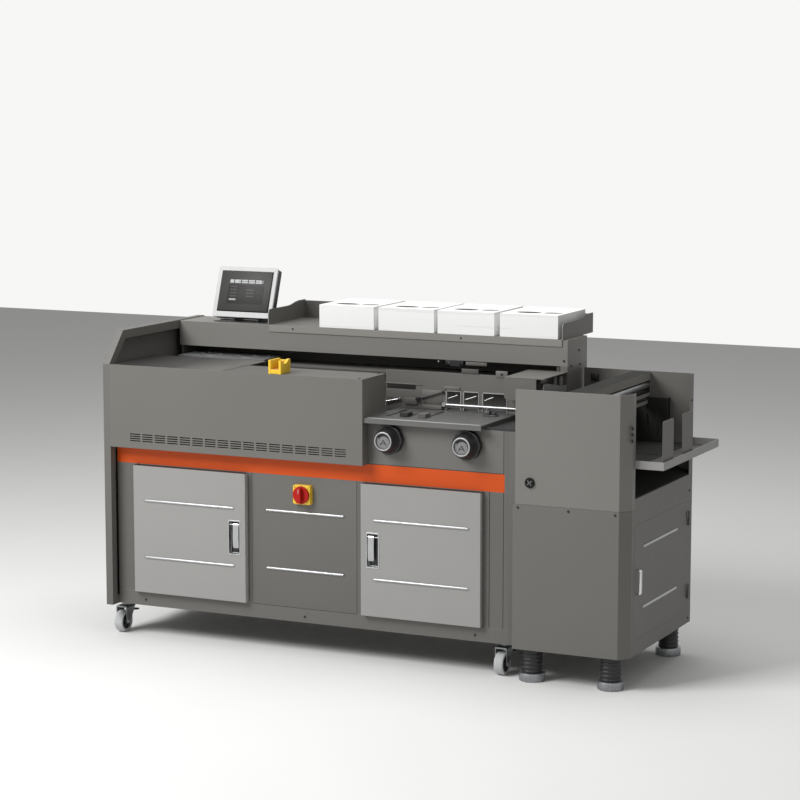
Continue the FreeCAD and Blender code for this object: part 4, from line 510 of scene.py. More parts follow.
def rod_along(points, radius):
    """Round rod through points, closed at both ends."""
    bm, steps = bmesh.new(), 12
    points = [Vector(point) for point in points]
    rings = []
    for i, point in enumerate(points):
        along = (points[min(i + 1, len(points) - 1)] - points[max(i - 1, 0)]).normalized()
        turn = along.to_track_quat("Z", "X").to_matrix()
        rings.append([bm.verts.new(point + turn @ Vector((*spoke(radius, 2 * math.pi * k / steps), 0)))
                      for k in range(steps)])
    bm.faces.new(rings[0][::-1])
    bm.faces.new(rings[-1])
    for low, high in zip(rings, rings[1:]):
        for k in range(steps):
            m = (k + 1) % steps
            bm.faces.new([low[k], low[m], high[m], high[k]])
    return bm


def linked(name, data):
    """New object in the scene."""
    made = bpy.data.objects.new(name, data)
    bpy.context.scene.collection.objects.link(made)
    return made


def taken_mesh(holder):
    """Mesh of an object as it is shown; the object goes."""
    depsgraph = bpy.context.evaluated_depsgraph_get()
    mesh = bpy.data.meshes.new_from_object(holder.evaluated_get(depsgraph), depsgraph=depsgraph)
    bpy.data.objects.remove(holder)
    return mesh


def lettering(text, height, depth):
    """Plain figures, centred, as a mesh in XY."""
    curve = bpy.data.curves.new("figures", "FONT")
    curve.body, curve.size, curve.extrude = text, height, depth / 2
    curve.align_x, curve.align_y = "CENTER", "CENTER"
    mesh = taken_mesh(linked("figures", curve))
    bm = bmesh.new()
    bm.from_mesh(mesh)
    bmesh.ops.remove_doubles(bm, verts=bm.verts, dist=height * 1e-4)
    bpy.data.curves.remove(curve)
    bpy.data.meshes.remove(mesh)
    return bm


def arc(radius, start, end, steps, centre=(0.0, 0.0)):
    """Points of an arc, angles in degrees."""
    return [spoke(radius, math.radians(start + (end - start) * i / steps), centre) for i in range(steps + 1)]


def smooth(mesh, angle):
    """Shade a mesh smooth, but keep edges sharper than an angle in degrees."""
    mesh.shade_smooth()
    mesh.set_sharp_from_angle(angle=math.radians(angle))


class Piece:
    """Mesh of one piece: forms in datum millimetres, each with its own finish."""

    def __init__(self, name):
        self.name, self.bm, self.finishes = name, bmesh.new(), []

    def add(self, form, finish, turn=UP, x=0.0, y=0.0, z=0.0):
        """Join a form to the piece."""
        if finish not in self.finishes:
            self.finishes.append(finish)
        form.transform(placed(turn, x, y, z))
        bmesh.ops.recalc_face_normals(form, faces=form.faces)
        for face in form.faces:
            face.material_index = self.finishes.index(finish)
        joined = bpy.data.meshes.new("form")
        form.to_mesh(joined)
        form.free()
        self.bm.from_mesh(joined)
        bpy.data.meshes.remove(joined)

    def block(self, low, high, radius, finish, turn=UP, x=0.0, y=0.0, z=0.0):
        """Join a slab to the piece."""
        self.add(slab(low, high, radius), finish, turn, x, y, z)

    def done(self, body, slot, *stands_for):
        """Place the mesh in the frame and hang the piece on its body."""
        for vert in self.bm.verts:
            vert.co = at(*vert.co)
        mesh = bpy.data.meshes.new(self.name)
        self.bm.to_mesh(mesh)
        self.bm.free()
        smooth(mesh, 32)
        for finish in self.finishes:
            mesh.materials.append(MATERIALS[finish])
        settle(linked(self.name, mesh), body, slot, *stands_for)


def settle(made, body, slot, *stands_for):
    """Hang a finished object on the empty named for its body, and hide the nodes that it replaces."""
    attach(made, body)
    if stands_for:
        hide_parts(*stands_for)


# Geometry Nodes for what repeats -------------------------------------------


class Grower(Graph):
    """A Geometry Nodes tree with named inputs."""

    def __init__(self, name, **inputs):
        tree = bpy.data.node_groups.new(name, "GeometryNodeTree")
        super().__init__(tree)
        tree.interface.new_socket("Points", in_out="INPUT", socket_type="NodeSocketGeometry")
        tree.interface.new_socket("Geometry", in_out="OUTPUT", socket_type="NodeSocketGeometry")
        for key, kind in inputs.items():
            tree.interface.new_socket(key.replace("_", " "), in_out="INPUT", socket_type="NodeSocket" + kind)
        self.start = tree.nodes.new("NodeGroupInput")

    def given(self, name):
        """A named input."""
        return Wire(self, self.start.outputs[name])

    def shape(self, kind, settings=None, **inputs):
        """One geometry node, its inputs by name."""
        named = {key.replace("_", " "): value for key, value in inputs.items()}
        return self.node("GeometryNode" + kind, settings, named)

    def up(self, height):
        """Vector along +Z."""
        return self.node("ShaderNodeCombineXYZ", inputs={2: height})

    def facing(self):
        """Rotation that turns +Z to the given direction."""
        return self.node("FunctionNodeAlignRotationToVector", {"axis": "Z"}, {"Vector": self.given("Direction")})

    def end(self, instance, turn=(0, 0, 0)):
        """Set an instance on each of the given points, make it real, paint it and end the tree."""
        instances = self.shape("InstanceOnPoints", Points=self.given("Points"), Instance=instance, Rotation=turn)
        real = self.shape("RealizeInstances", Geometry=instances)
        self.node("NodeGroupOutput", inputs={0: self.shape("SetMaterial", Geometry=real, Material=self.given("Paint"))})
        return self

    def grow(self, name, points, **values):
        """Object whose plain mesh is the tree's result on points in metres."""
        mesh = bpy.data.meshes.new(name + "_points")
        mesh.from_pydata([tuple(point) for point in points], [], [])
        seed = linked(name + "_points", mesh)
        modifier = seed.modifiers.new("grow", "NODES")
        modifier.node_group = self.tree
        for item in self.tree.interface.items_tree:
            key = item.name.replace(" ", "_")
            if item.in_out == "INPUT" and key in values:
                modifier[item.identifier] = values[key]
        grown = taken_mesh(seed)
        grown.name = name
        if not grown.polygons:
            raise RuntimeError(name + " grew no faces")
        return linked(name, grown)


def screw_tree():
    """Chamfered screw heads with a hexagon recess, one on each point."""
    tree = Grower("screw_heads", Head_Radius="Float", Head_Height="Float", Direction="Vector", Paint="Material")
    radius, height = tree.given("Head Radius"), tree.given("Head Height")
    head = tree.shape("MeshCone", Vertices=16, Radius_Top=radius * 0.78, Radius_Bottom=radius, Depth=height)
    recess = tree.shape("MeshCylinder", Vertices=6, Radius=radius * 0.45, Depth=height * 0.1)
    recess = tree.shape("Transform", Geometry=recess, Translation=tree.up(height * 1.06))
    return tree.end(tree.shape("JoinGeometry", Geometry=[recess, head]), tree.facing())


def tick_tree():
    """Small blocks round a circle that faces the operator, on each point."""
    tree = Grower("ring_of_ticks", Count="Int", Ring_Radius="Float", Tick_Size="Vector", Tilt="Vector",
                  Paint="Material")
    count = tree.given("Count")
    circle = tree.shape("MeshCircle", Vertices=count, Radius=tree.given("Ring Radius"))
    block = tree.shape("MeshCube", Size=tree.given("Tick Size"))
    turn = tree.up(tree.shape("InputIndex") * (2 * math.pi) / count)
    return tree.end(tree.shape("InstanceOnPoints", Points=circle, Instance=block, Rotation=turn), tree.given("Tilt"))


def rib_tree():
    """Stacks of round ribs, one stack upwards from each point; a rib is a band between two short cones."""
    tree = Grower("rib_stacks", Count="Int", Pitch="Float", Rib_Radius="Float", Rib_Height="Float",
                  Direction="Vector", Paint="Material")
    line = tree.shape("MeshLine", {"mode": "OFFSET"}, Count=tree.given("Count"), Offset=tree.up(tree.given("Pitch")))
    radius, height = tree.given("Rib Radius"), tree.given("Rib Height")
    parts = []
    for foot, low, high, share in ((0.0, 0.965, 1.0, 0.35), (0.35, 1.0, 1.0, 0.3), (0.65, 1.0, 0.965, 0.35)):
        part = tree.shape("MeshCone", Vertices=40, Radius_Top=radius * high, Radius_Bottom=radius * low,
                          Depth=height * share)
        parts.append(tree.shape("Transform", Geometry=part, Translation=tree.up(height * foot)))
    rib = tree.shape("JoinGeometry", Geometry=parts)
    return tree.end(tree.shape("InstanceOnPoints", Points=line, Instance=rib), tree.facing())


def block_tree(name):
    """Small blocks, one on each point."""
    tree = Grower(name, Tick_Size="Vector", Paint="Material")
    return tree.end(tree.shape("MeshCube", Size=tree.given("Tick Size")))


# Operators -----------------------------------------------------------------

MATERIALS = {}
SCREEN_SIZE = 0.207, 0.149      # metres, the glass of the touch screen
SCREEN_LEAN = 19                # degrees that it leans back
LID_FADE = 0.24                 # metres over which the painted shade on the hood's lid deepens to the left


def dark_line_spaces(*spaces):
    """Spaces of some dark lines, joints and painted shadows: low and high corners in metres, from x, y and z pairs in
    millimetres.
    """
    return [(at(x0, y0, z0), at(x1, y1, z1)) for x0, x1, y0, y1, z0, z1 in spaces]


class BINDER_OT_finishes(bpy.types.Operator):
    """Make every finish"""
    bl_idname = "binder.finishes"
    bl_label = "Finishes"

    def execute(self, context):
        paint = context.scene.binder_colours
        grey, light = list(paint.cabinet), list(paint.doors)
        orange = [part * share for part, share in zip(paint.band, (0.86, 0.82, 0.48))] + [1.0]
        hood_seams = dark_line_spaces((465, 473, 0, 172, 940, 950), (26, 470, 170, 173, 940, 950))
        # dark joints beside the posts and below the middle panel, and a painted shadow line along the top edge of the
        # band
        joints_and_band_shadow = dark_line_spaces((1418.6, 1421.4, 40, 46, 158, 632), (1467.6, 1470, 40, 46, 158, 814),
                                 (551, 553, 40, 46, 158, 632), (944, 946, 40, 46, 158, 632),
                                 (553, 945, 40, 46, 157, 159), (987, 1469, 40, 46, 663.4, 666.6))
        # painted shade on the doors' top faces, below the band
        door_top_shade = dark_line_spaces((90, 1420, 24, 45, 600.7, 602.0))

        # painted shade on the top of the hood, darker towards the left
        def lid_shade(place, way):
            near = (at(480, 0, 0).x - place[0]) / LID_FADE
            return (way[2] > 0.5) * near.graph.math("MINIMUM", near.graph.math("MAXIMUM", near, 0.22), 0.92)

        table_seams = dark_line_spaces((480, 1400, 52, 53, 815, 822), (980, 1400, 210, 211, 815, 822))
        steel, alloy = RECORD["steel"], RECORD["aluminium"]
        made = (
            # each group of parts gets its own shade of the one cabinet grey or door paint, matched to how bright it
            # looks: lit and shaded copies of one paint, painted light and shade
            powder_coat("cabinet_coat", shade(grey, 0.64), dark_lines=joints_and_band_shadow, floor_darkening=0.42),
            powder_coat("bay_coat", shade(grey, 0.60)),
            powder_coat("hood_coat", shade(grey, 0.72), dark_lines=hood_seams, painted_light=(lid_shade, shade(grey, 0.06)),
                        gloss=0.22),
            powder_coat("side_coat", shade(grey, 0.60), floor_darkening=0.3),
            powder_coat("beam_coat", shade(grey, 0.92)),
            # painted light and shade: the rack in a dark grey, the front faces of its lip in a lit copy of it
            two_tone_and_painted_light("rack_coat", shade(grey, 0.56), shade(grey, 1.2),
                     lambda place, way: (way[1] < -0.5) * (place[1] < at(0, 473.6, 0).y), 0.42),
            powder_coat("module_coat", shade(grey, 0.62), floor_darkening=0.1),
            powder_coat("upper_coat", shade(grey, 0.82)),
            powder_coat("frame_coat", shade(grey, 0.54), dark_lines=joints_and_band_shadow),
            # painted light: the doors' right-facing faces in a lighter copy of their paint
            powder_coat("door_coat", shade(light, 0.76), 0.38, dark_lines=door_top_shade,
                        painted_light=(lambda place, way: way[0] > 0.5, shade(light, 1.0))),
            # painted shade: the tray's floor, its up-facing faces below 719 mm, in dark grey
            two_tone_and_painted_light("tray_coat", shade(light, 0.78), shade(grey, 0.28),
                     lambda place, way: (way[2] > 0.5) * (place[2] < at(0, 0, 719).z), 0.42),
            powder_coat("bracket_coat", shade(light, 0.8), 0.4),
            gloss_paint("band_paint", orange),
            moulded("yellow_moulding", list(paint.yellow), 0.42),
            moulded("red_moulding", [part * 0.8 for part in paint.red], 0.4, gloss=0.15),
            moulded("black_moulding", list(paint.black), 0.44),
            moulded("white_moulding", shade(RECORD["white_plastic"], 0.55), 0.4),
            moulded("pale_moulding", shade(RECORD["white_plastic"], 0.62), 0.45),
            moulded("dial_moulding", shade(RECORD["white_plastic"], 0.26), 0.4),
            moulded("matt_black", (0.012, 0.012, 0.012), 0.75, gloss=0.12),
            moulded("grey_moulding", (0.12, 0.12, 0.125), 0.5),
            # painted shade: a darker copy of the yellow for the inside of the stop block's cup
            moulded("amber_recess", (0.42, 0.13, 0.016), 0.55),
            # near-black for print, and for the painted shadow of the ring on each dial
            moulded("mark_ink", (0.008, 0.008, 0.008), 0.6, 300.0, 0.00002),
            polished("chrome_plate", RECORD["chrome"]),
            polished("satin_chrome", shade(RECORD["chrome"], 0.70), 0.32),
            powder_coat("rail_coat", shade(grey, 0.32), 0.6),
            ground("bright_steel", steel),
            ground("turned_steel", steel, 1, 0.26),
            ground("dull_steel", shade(steel, 0.30), 0, 0.5),
            ground("brushed_aluminium", shade(alloy, 0.70), 0, 0.36),
            ground("clamp_aluminium", shade(alloy, 0.46), 0, 0.5),
            powder_coat("stop_aluminium", shade(grey, 0.5), 0.45),
            ground("table_aluminium", [part * 0.35 * warm for part, warm in zip(alloy, (1.0, 0.98, 0.93))] + [1.0], 0,
                   0.42, table_seams),
            two_tone_and_painted_light("guide_blocks", shade(grey, 0.5), (0.012, 0.012, 0.013, 1),
                     lambda place, way: place[0] < at(1112, 0, 0).x, 0.42),
            # painted light: the right-facing faces of the head above 835 mm in a lit grey, all else dark
            two_tone_and_painted_light("feeder_metal", (0.016, 0.016, 0.015, 1), shade(grey, 1.25),
                     lambda place, way: (way[0] > 0.5) * (place[2] > at(0, 0, 835).z) * (place[0] < at(1758, 0, 0).x),
                     0.7, 0.12),
            zinc_plate("zinc", RECORD["galvanised"]),
            zinc_plate("bright_zinc", shade(RECORD["galvanised"], 1.0)),
            tread("tread_rubber", shade(RECORD["tread"], 1.5)),
            trimmed_paper("trimmed_paper", list(paint.paper), book_ovals()),
            display("lit_display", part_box("screen_glass")[0], *SCREEN_SIZE, math.radians(SCREEN_LEAN)),
            moulded("lamp_green", (0.05, 0.5, 0.08), 0.3),
        )
        MATERIALS.update((material.name, material) for material in made)
        return {"FINISHED"}


def book_ovals():
    """Marks on the four book blocks: middle, half sizes and tone of each."""
    ovals = []
    for x in (587, 815, 1038, 1268):
        for across, back, half_x, half_y, tone in ((80, 538, 0.045, 0.024, 0.05), (165, 545, 0.033, 0.024, 0.34)):
            middle = at(x + across, back, 0)
            ovals.append((middle.x, middle.y, half_x, half_y, tone))
    return ovals


COATS = {node: finish for finish, nodes in (
    ("side_coat", "left_side_panel right_side_panel"), ("frame_coat", "cabinet_frame"),
    ("cabinet_coat", "rear_panels front_panels"), ("band_paint", "orange_band"), ("hood_coat", "hood"),
    ("yellow_moulding", "yellow_fittings"), ("beam_coat", "beam"), ("rack_coat", "book_rack"),
    ("bay_coat", "bay_wall"), ("table_aluminium", "cover_table"),
    ("black_moulding", "black_fittings handwheel_left handwheel_right quarter_turn_lock"),
    ("satin_chrome", "chrome_trim"), ("rail_coat", "carriage_rails"), ("zinc", "works_bed"),
    ("brushed_aluminium", "glue_tank"), ("module_coat", "module_body side_door"),
    ("upper_coat", "module_upper_cover"), ("feeder_metal", "feeder_works"), ("tray_coat", "cover_tray"),
    ("door_coat", "left_door right_door"), ("chrome_plate", "left_door_trim right_door_trim side_door_trim"),
    ("bright_steel", "left_paddle right_paddle glue_roller_1 glue_roller_2 feed_roller"),
    ("trimmed_paper", "book_blocks"), ("guide_blocks", "cover_guides"), ("pale_moulding", "dial_left dial_right"),
    ("red_moulding", "switch_knob"), ("clamp_aluminium", "clamp_carriage clamp_jaw"),
    ("turned_steel", "milling_cutter"), ("dull_steel", "nip_table nip_jaw"), ("stop_aluminium", "end_stops"),
    ("white_moulding", "screen_housing"), ("lit_display", "screen_glass")
) for node in nodes.split()}


class BINDER_OT_cabinet(bpy.types.Operator):
    """Give every CAD node its finish"""
    bl_idname = "binder.cabinet"
    bl_label = "Cabinet"

    def execute(self, context):
        for name, node in frame["nodes"].items():
            kind = name.rstrip("0123456789")
            finish = COATS.get(name) or {"castor_fork_": "zinc", "castor_wheel_": "tread_rubber", "foot_": "zinc"}[kind]
            node.data.materials.clear()
            node.data.materials.append(MATERIALS[finish])
        return {"FINISHED"}


LOOKED_AT = 980.15, 300, 843.44         # point in the middle of the picture
SENSOR_WIDTH = 36
FLOOR_HALF = 9                          # metres from the middle to an edge


class BINDER_OT_stage(bpy.types.Operator):
    """Floor, soft light and camera"""
    bl_idname = "binder.stage"
    bl_label = "Studio"

    def execute(self, context):
        studio = context.scene.binder_studio
        context.scene.view_settings.view_transform = "Standard"
        low, high = [Vector(corner) for corner in CAD_BOX]
        middle = (low + high) / 2
        bm = slab((-FLOOR_HALF, -FLOOR_HALF, -0.02), (FLOOR_HALF, FLOOR_HALF, 0))
        mesh = bpy.data.meshes.new("studio_floor")
        bm.to_mesh(mesh)
        bm.free()
        floor = linked("studio_floor", mesh)
        pale = Finish("studio_floor")
        cloud = pale.noise(1.5, 3.0)
        base = pale.mix(cloud, (0.78, 0.78, 0.77, 1), (0.82, 0.82, 0.81, 1))
        pale.close(base, 0.75 + cloud * 0.1)
        floor.data.materials.append(pale.material)

        world = bpy.data.worlds.new("studio_world")
        world.use_nodes = True
        context.scene.world = world
        sky = Graph(world.node_tree)
        seen = [sky.node("ShaderNodeLightPath", output=name)
                for name in ("Is Camera Ray", "Is Glossy Ray", "Is Transmission Ray")]
        mask = sky.math("MINIMUM", seen[0] + seen[1] * 0.75 + seen[2], 1.0)
        light = sky.node("ShaderNodeBackground", inputs={"Color": (1, 1, 1, 1), "Strength": studio.sky})
        white = sky.node("ShaderNodeBackground", inputs={"Color": (0.93, 0.93, 0.92, 1), "Strength": 1.0})
        both = sky.node("ShaderNodeMixShader", inputs={0: mask, 1: light, 2: white})
        sky.node("ShaderNodeOutputWorld", inputs={"Surface": both})

        for name, place, size, power in (
                ("key", (-2.4, -3.6, 3.4), 2.6, studio.key),
                ("fill", (3.6, -3.4, 1.9), 3.0, studio.key * 0.05),
                ("top", (0.2, 0.4, 4.2), 3.4, studio.key * 0.32)):
            lamp = bpy.data.lights.new(name, "AREA")
            lamp.shape, lamp.size, lamp.energy = "SQUARE", size, power
            holder = linked(name, lamp)
            holder.location = middle + Vector(place)
            holder.rotation_euler = (-Vector(place)).to_track_quat("-Z", "Y").to_euler()

        camera = linked("camera", bpy.data.cameras.new("camera"))
        context.scene.camera = camera
        camera.data.sensor_width, camera.data.lens = SENSOR_WIDTH, studio.lens
        camera.data.clip_end = 100
        out = Vector((math.sin(studio.azimuth) * math.cos(studio.elevation),
                      -math.cos(studio.azimuth) * math.cos(studio.elevation), math.sin(studio.elevation)))
        camera.location = at(*LOOKED_AT) + out * studio.distance
        camera.rotation_euler = (-out).to_track_quat("-Z", "Y").to_euler()
        return {"FINISHED"}


# Door furniture ------------------------------------------------------------

DOOR_FACE, PANEL_FACE = 23, 43          # depths of the doors' skin and of the panels between them
STRIP_HEIGHTS = 285, 482
DIAL_HEIGHT, AXLE_HEIGHT = 752, 37.5    # heights of the handwheels' and of the castors' axles


def rounded_loop(wide, tall, radius, y, centre=(0.0, 0.0)):
    """Points of a rounded rectangle in the plane of the front, at one depth."""
    half_w, half_h = wide / 2 - radius, tall / 2 - radius
    points = []
    for sign_x, sign_z, start in ((1, 1, 0), (-1, 1, 90), (-1, -1, 180), (1, -1, 270)):
        points += [(x + centre[0], y, z + centre[1])
                   for x, z in arc(radius, start, start + 90, 5, (sign_x * half_w, sign_z * half_h))]
    return points


def loft(loops):
    """Skin over loops of equal counts, closed at both ends."""
    bm = bmesh.new()
    rings = [[bm.verts.new(point) for point in loop] for loop in loops]
    for low, high in zip(rings, rings[1:]):
        for i in range(len(low)):
            j = (i + 1) % len(low)
            bm.faces.new([low[i], low[j], high[j], high[i]])
    bm.faces.new(rings[0])
    bm.faces.new(rings[-1][::-1])
    bmesh.ops.remove_doubles(bm, verts=bm.verts, dist=1e-5)
    return bm


def pressed(sections, centre=(0.0, 0.0)):
    """Skin over rounded rectangles in the plane of the front: width, height, corner radius and depth of each."""
    return loft([rounded_loop(*section, centre) for section in sections])


def trim_strip(length, radius=4.5, taper=7.0):
    """Half-round strip along X on the plane y = 0, its ends blunt."""
    loops = []
    for along, size in ((0, 0.45), (taper * 0.3, 0.8), (taper, 1.0), (length - taper, 1.0),
                        (length - taper * 0.3, 0.8), (length, 0.45)):
        loops.append([(along, -radius * size * math.sin(math.radians(a)), radius * size * math.cos(math.radians(a)))
                      for a in range(0, 181, 15)])
    return loft(loops)


def pull_pan(wide, tall, rim, depth, wall):
    """Pressed pull: thin rounded rim on the door's skin and a well behind it."""
    lip = 2 * rim
    return pressed([(wide + more, tall + more, radius, y) for more, radius, y in (
        (-4, 2.5, depth - wall), (-2 * wall, 3.0, depth - wall - 2.5), (-2 * wall, 3.5, 0.4), (-1.0, 4.0, -1.3),
        (lip - 2.0, 6.0, -1.5), (lip, 6.5, -0.6), (lip, 6.5, 0.0), (-0.2, 3.0, 0.0), (-0.2, 3.0, depth))])


def paddle_blade(wide, tall, bow):
    """Curved paddle that hangs below its axle, its face bowed towards the hand."""
    loops = []
    for k in range(13):
        share = k / 12
        y = -bow * math.sin(math.pi * share)
        half = wide / 2 - (1.6 if k in (0, 12) else 0.0)
        z = tall * (0.5 - share)
        loops.append([(-half, y, z), (half, y, z), (half, y + 3.2, z), (-half, y + 3.2, z)])
    return loft(loops)


class BINDER_OT_door_furniture(bpy.types.Operator):
    """Strips, recessed pulls and paddles of the doors"""
    bl_idname = "binder.door_furniture"
    bl_label = "Door furniture"

    def execute(self, context):
        for side, strip_x, length, pull_x, blade_x in (("left", 142, 353, 494, 500), ("right", 1013, 345, 1012, 1006)):
            trim = Piece(side + "_door_furniture")
            for z in STRIP_HEIGHTS:
                trim.add(trim_strip(length), "satin_chrome", x=strip_x, y=DOOR_FACE, z=z)
            trim.add(pull_pan(42, 112, 4, 14, 1.5), "satin_chrome", x=pull_x, y=DOOR_FACE, z=381)
            # black slab at the back of the pull's well; it also paints the shade of the finger recess
            trim.block((-17, 11.6, -52), (17, 12.4, 52), 0.3, "black_moulding", x=pull_x, y=DOOR_FACE, z=381)
            trim.done(side + "_door", "chrome", side + "_door_trim")

            paddle = Piece(side + "_pull_paddle")
            paddle.add(paddle_blade(22, 84, 2.0), "satin_chrome", x=blade_x, y=DOOR_FACE, z=388)
            paddle.add(lathe([(0, 0), (4.4, 0), (5, 0.6), (5, 21.4), (4.4, 22), (0, 22)], 24), "chrome_plate",
                       RIGHT, blade_x - 11, 26.5, 425)
            paddle.add(drum(2, 0, 38.4, 16), "bright_steel",
                       RIGHT, pull_x - 19.2, 26.5, 425)
            paddle.done(side + "_paddle", "steel", side + "_paddle")

        middle = Piece("middle_panel_strips")
        for z in STRIP_HEIGHTS:
            middle.add(trim_strip(288, 4.6), "satin_chrome", x=608.5, y=PANEL_FACE, z=z)
        middle.done("frame", "chrome")

        along_y = Matrix.Rotation(math.pi / 2, 4, "Z")
        side = Piece("side_door_furniture")
        for z in (254, 450):
            side.add(trim_strip(325), "satin_chrome", along_y, 1906, 145, z)
        bow = mirrored([(0, 306), (10, 306), (15.5, 307), (17.4, 310), (18, 314)], 347)
        bow += mirrored([(0, 384), (9, 384), (11.4, 382.6), (12.4, 379)], 347)
        side.add(plate(bow, -90, -81, 1.4), "chrome_plate", FRONT, 1906)
        side.done("side_door", "chrome", "side_door_trim")
        return {"FINISHED"}


# Hood ----------------------------------------------------------------------


class BINDER_OT_yellow_parts(bpy.types.Operator):
    """Stop block on the hood, and the plate of the main switch"""
    bl_idname = "binder.yellow_parts"
    bl_label = "Yellow parts"

    def execute(self, context):
        piece = Piece("stop_block_and_switch_plate")
        piece.block((641.3, 1.6, 948.2), (687.2, 68.4, 963), 0.6, "yellow_moulding")
        wall = [(0.6, 948), (69.4, 948), (69.4, 994), (0.6, 994)]
        scoop = [(0.6, 948), (69.4, 948), (69.4, 990), (66, 994), (53, 994)]
        scoop += [(31 + 22 * math.cos(math.radians(a)), 994 + 13 * math.sin(math.radians(a)))
                  for a in range(-12, -169, -12)]
        scoop += [(8, 994), (0.6, 994)]
        for outline, low, high in ((wall, 640.5, 650), (scoop, 678.5, 688)):
            piece.add(plate(outline, low, high, 1.6), "yellow_moulding",
                      SIDE)
        piece.block((642, 60.6, 950), (686, 68.8, 990), 1.0, "yellow_moulding")
        # painted shade on the floor and back wall inside the cup
        piece.block((649, 4, 962.4), (679.5, 61.4, 964.2), 0.4, "amber_recess")
        piece.block((649.6, 59.6, 964), (678.8, 61, 984), 0.3, "amber_recess")
        piece.add(pressed([(65, 65, 6, 43), (65, 65, 6, 27.5), (63.6, 63.6, 6, 25.6), (61.5, 61.5, 6, 25),
                           (20, 20, 8, 25), (20, 20, 8, 26.5)], (749, 546)), "yellow_moulding")
        piece.done("frame", "yellow_plastic", "yellow_fittings")

        marks = Piece("switch_plate_marks")
        for angle in range(-50, 51, 25):
            turn = Matrix.Translation((749, 24.9, 546)) @ Matrix.Rotation(math.radians(angle), 4, "Y")
            marks.add(slab((-0.6, -0.1, 28.2), (0.6, 0.2, 30.6)), "mark_ink", turn)
        for text, x in (("0", -25), ("1", 25)):
            marks.add(lettering(text, 8, 0.4), "mark_ink", FRONT, 749 + x, 24.9, 571)
        marks.done("frame", "black_plastic")

        seat = (FRONT, 749, 24.7, 546)
        knob = Piece("switch_knob_grip")
        knob.add(lathe([(0, 0), (28.8, 0), (29.6, 0.8), (29.6, 5.5), (28.4, 7.4), (25, 8), (0, 8)], 64), "red_moulding",
                 *seat)
        grip = plate([(-8, -22), (-6.5, -25), (6.5, -25), (8, -22), (8, 22), (6.5, 25), (-6.5, 25), (-8, 22)],
                     7.5, 24, 1.6)
        knob.add(grip, "red_moulding", *seat)
        knob.block((-1.1, -0.35, 8), (1.1, 0.1, 22), 0.3, "white_moulding", x=749, y=0.85, z=546)
        knob.add(drum(6, 0, 18), "black_moulding", REAR, 749, 24.8, 546)
        knob.done("switch_knob", "red_plastic", "switch_knob")
        return {"FINISHED"}


# Handwheels ----------------------------------------------------------------


class BINDER_OT_handwheels(bpy.types.Operator):
    """Scalloped handwheels with their gravity indicators"""
    bl_idname = "binder.handwheels"
    bl_label = "Handwheels"

    def execute(self, context):
        sizes = context.scene.binder_sizes
        rim = []
        for i in range(8):
            around = 45.0 * i
            rim += arc(49, around - 13, around + 13, 5)
            valley = around + 22.5
            rim += [spoke(r, math.radians(valley + d)) for d, r in ((-5.5, 46.9), (-2, 45.3), (2, 45.3), (5.5, 46.9))]
        ticks = tick_tree()
        for side, x in (("left", 1068), ("right", 1345)):
            axle = (FRONT, x, PANEL_FACE, DIAL_HEIGHT)
            wheel = Piece(side + "_handwheel_knob")
            wheel.add(plate(rim, 0.4, 21, 2.6), "black_moulding", *axle)
            body = [(0, 0.6), (46, 0.6), (44.6, 19), (43.4, 21.4), (38.6, 27), (35, 43), (32.2, 54), (31.6, 57),
                    (26, 57), (26, 51.4), (0, 51.4)]
            wheel.add(lathe(body, 72), "black_moulding", *axle)
            ring = [(26.1, 51.2), (26.1, 58.6), (26.9, 59.7), (29.6, 60), (30.8, 59), (31.2, 57), (31.2, 51.2)]
            wheel.add(lathe(ring, 72, closed=True), "satin_chrome", *axle)
            wheel.add(drum(5.9, -22.5, 0.8), "turned_steel", *axle)
            pointer = plate([(-11, -11), (-8, -11), (0, -1), (8, -11), (11, -11), (1.6, 4), (-1.6, 4)], 54.9, 55.5)
            wheel.add(pointer, "mark_ink", *axle)
            wheel.add(lathe([(0, 54.7), (4.6, 54.7), (4.6, 55.4), (3.8, 55.9), (0, 55.9)], 24), "grey_moulding",
                      FRONT, x, PANEL_FACE, DIAL_HEIGHT - 4)
            wheel.done("handwheel_" + side, "black_plastic", "handwheel_" + side)

            face = Piece(side + "_dial_face")
            disc = [(0, 52.3), (25.6, 52.3), (25.6, 54.0), (25.2, 54.3), (0, 54.3)]
            face.add(lathe(disc, 64), "dial_moulding", *axle)
            # painted shadow of the chrome ring on the dial face
            ring_shadow = arc(25, -20, 148, 21) + arc(19.5, 148, -12, 20, (2, -3))
            face.add(plate(ring_shadow, 54.2, 54.42), "mark_ink", *axle)
            for k, text in enumerate("2468", 1):
                angle = math.radians(90 - 72 * k)
                across, up = spoke(15.5, angle, (x, DIAL_HEIGHT))
                face.add(lettering(text, 6.5, 0.25), "mark_ink", FRONT, across, PANEL_FACE - 54.4, up)
            face.done("dial_" + side, "white_plastic", "dial_" + side)

            ring = ticks.grow(side + "_dial_ticks", [at(x, PANEL_FACE - 54.4, DIAL_HEIGHT)], Count=sizes.dial_ticks,
                              Ring_Radius=0.0222, Tick_Size=(0.0030, 0.0005, 0.0003), Tilt=(math.pi / 2, 0, 0),
                              Paint=MATERIALS["mark_ink"])
            settle(ring, "dial_" + side, "black_plastic")
        return {"FINISHED"}


# Touch screen --------------------------------------------------------------


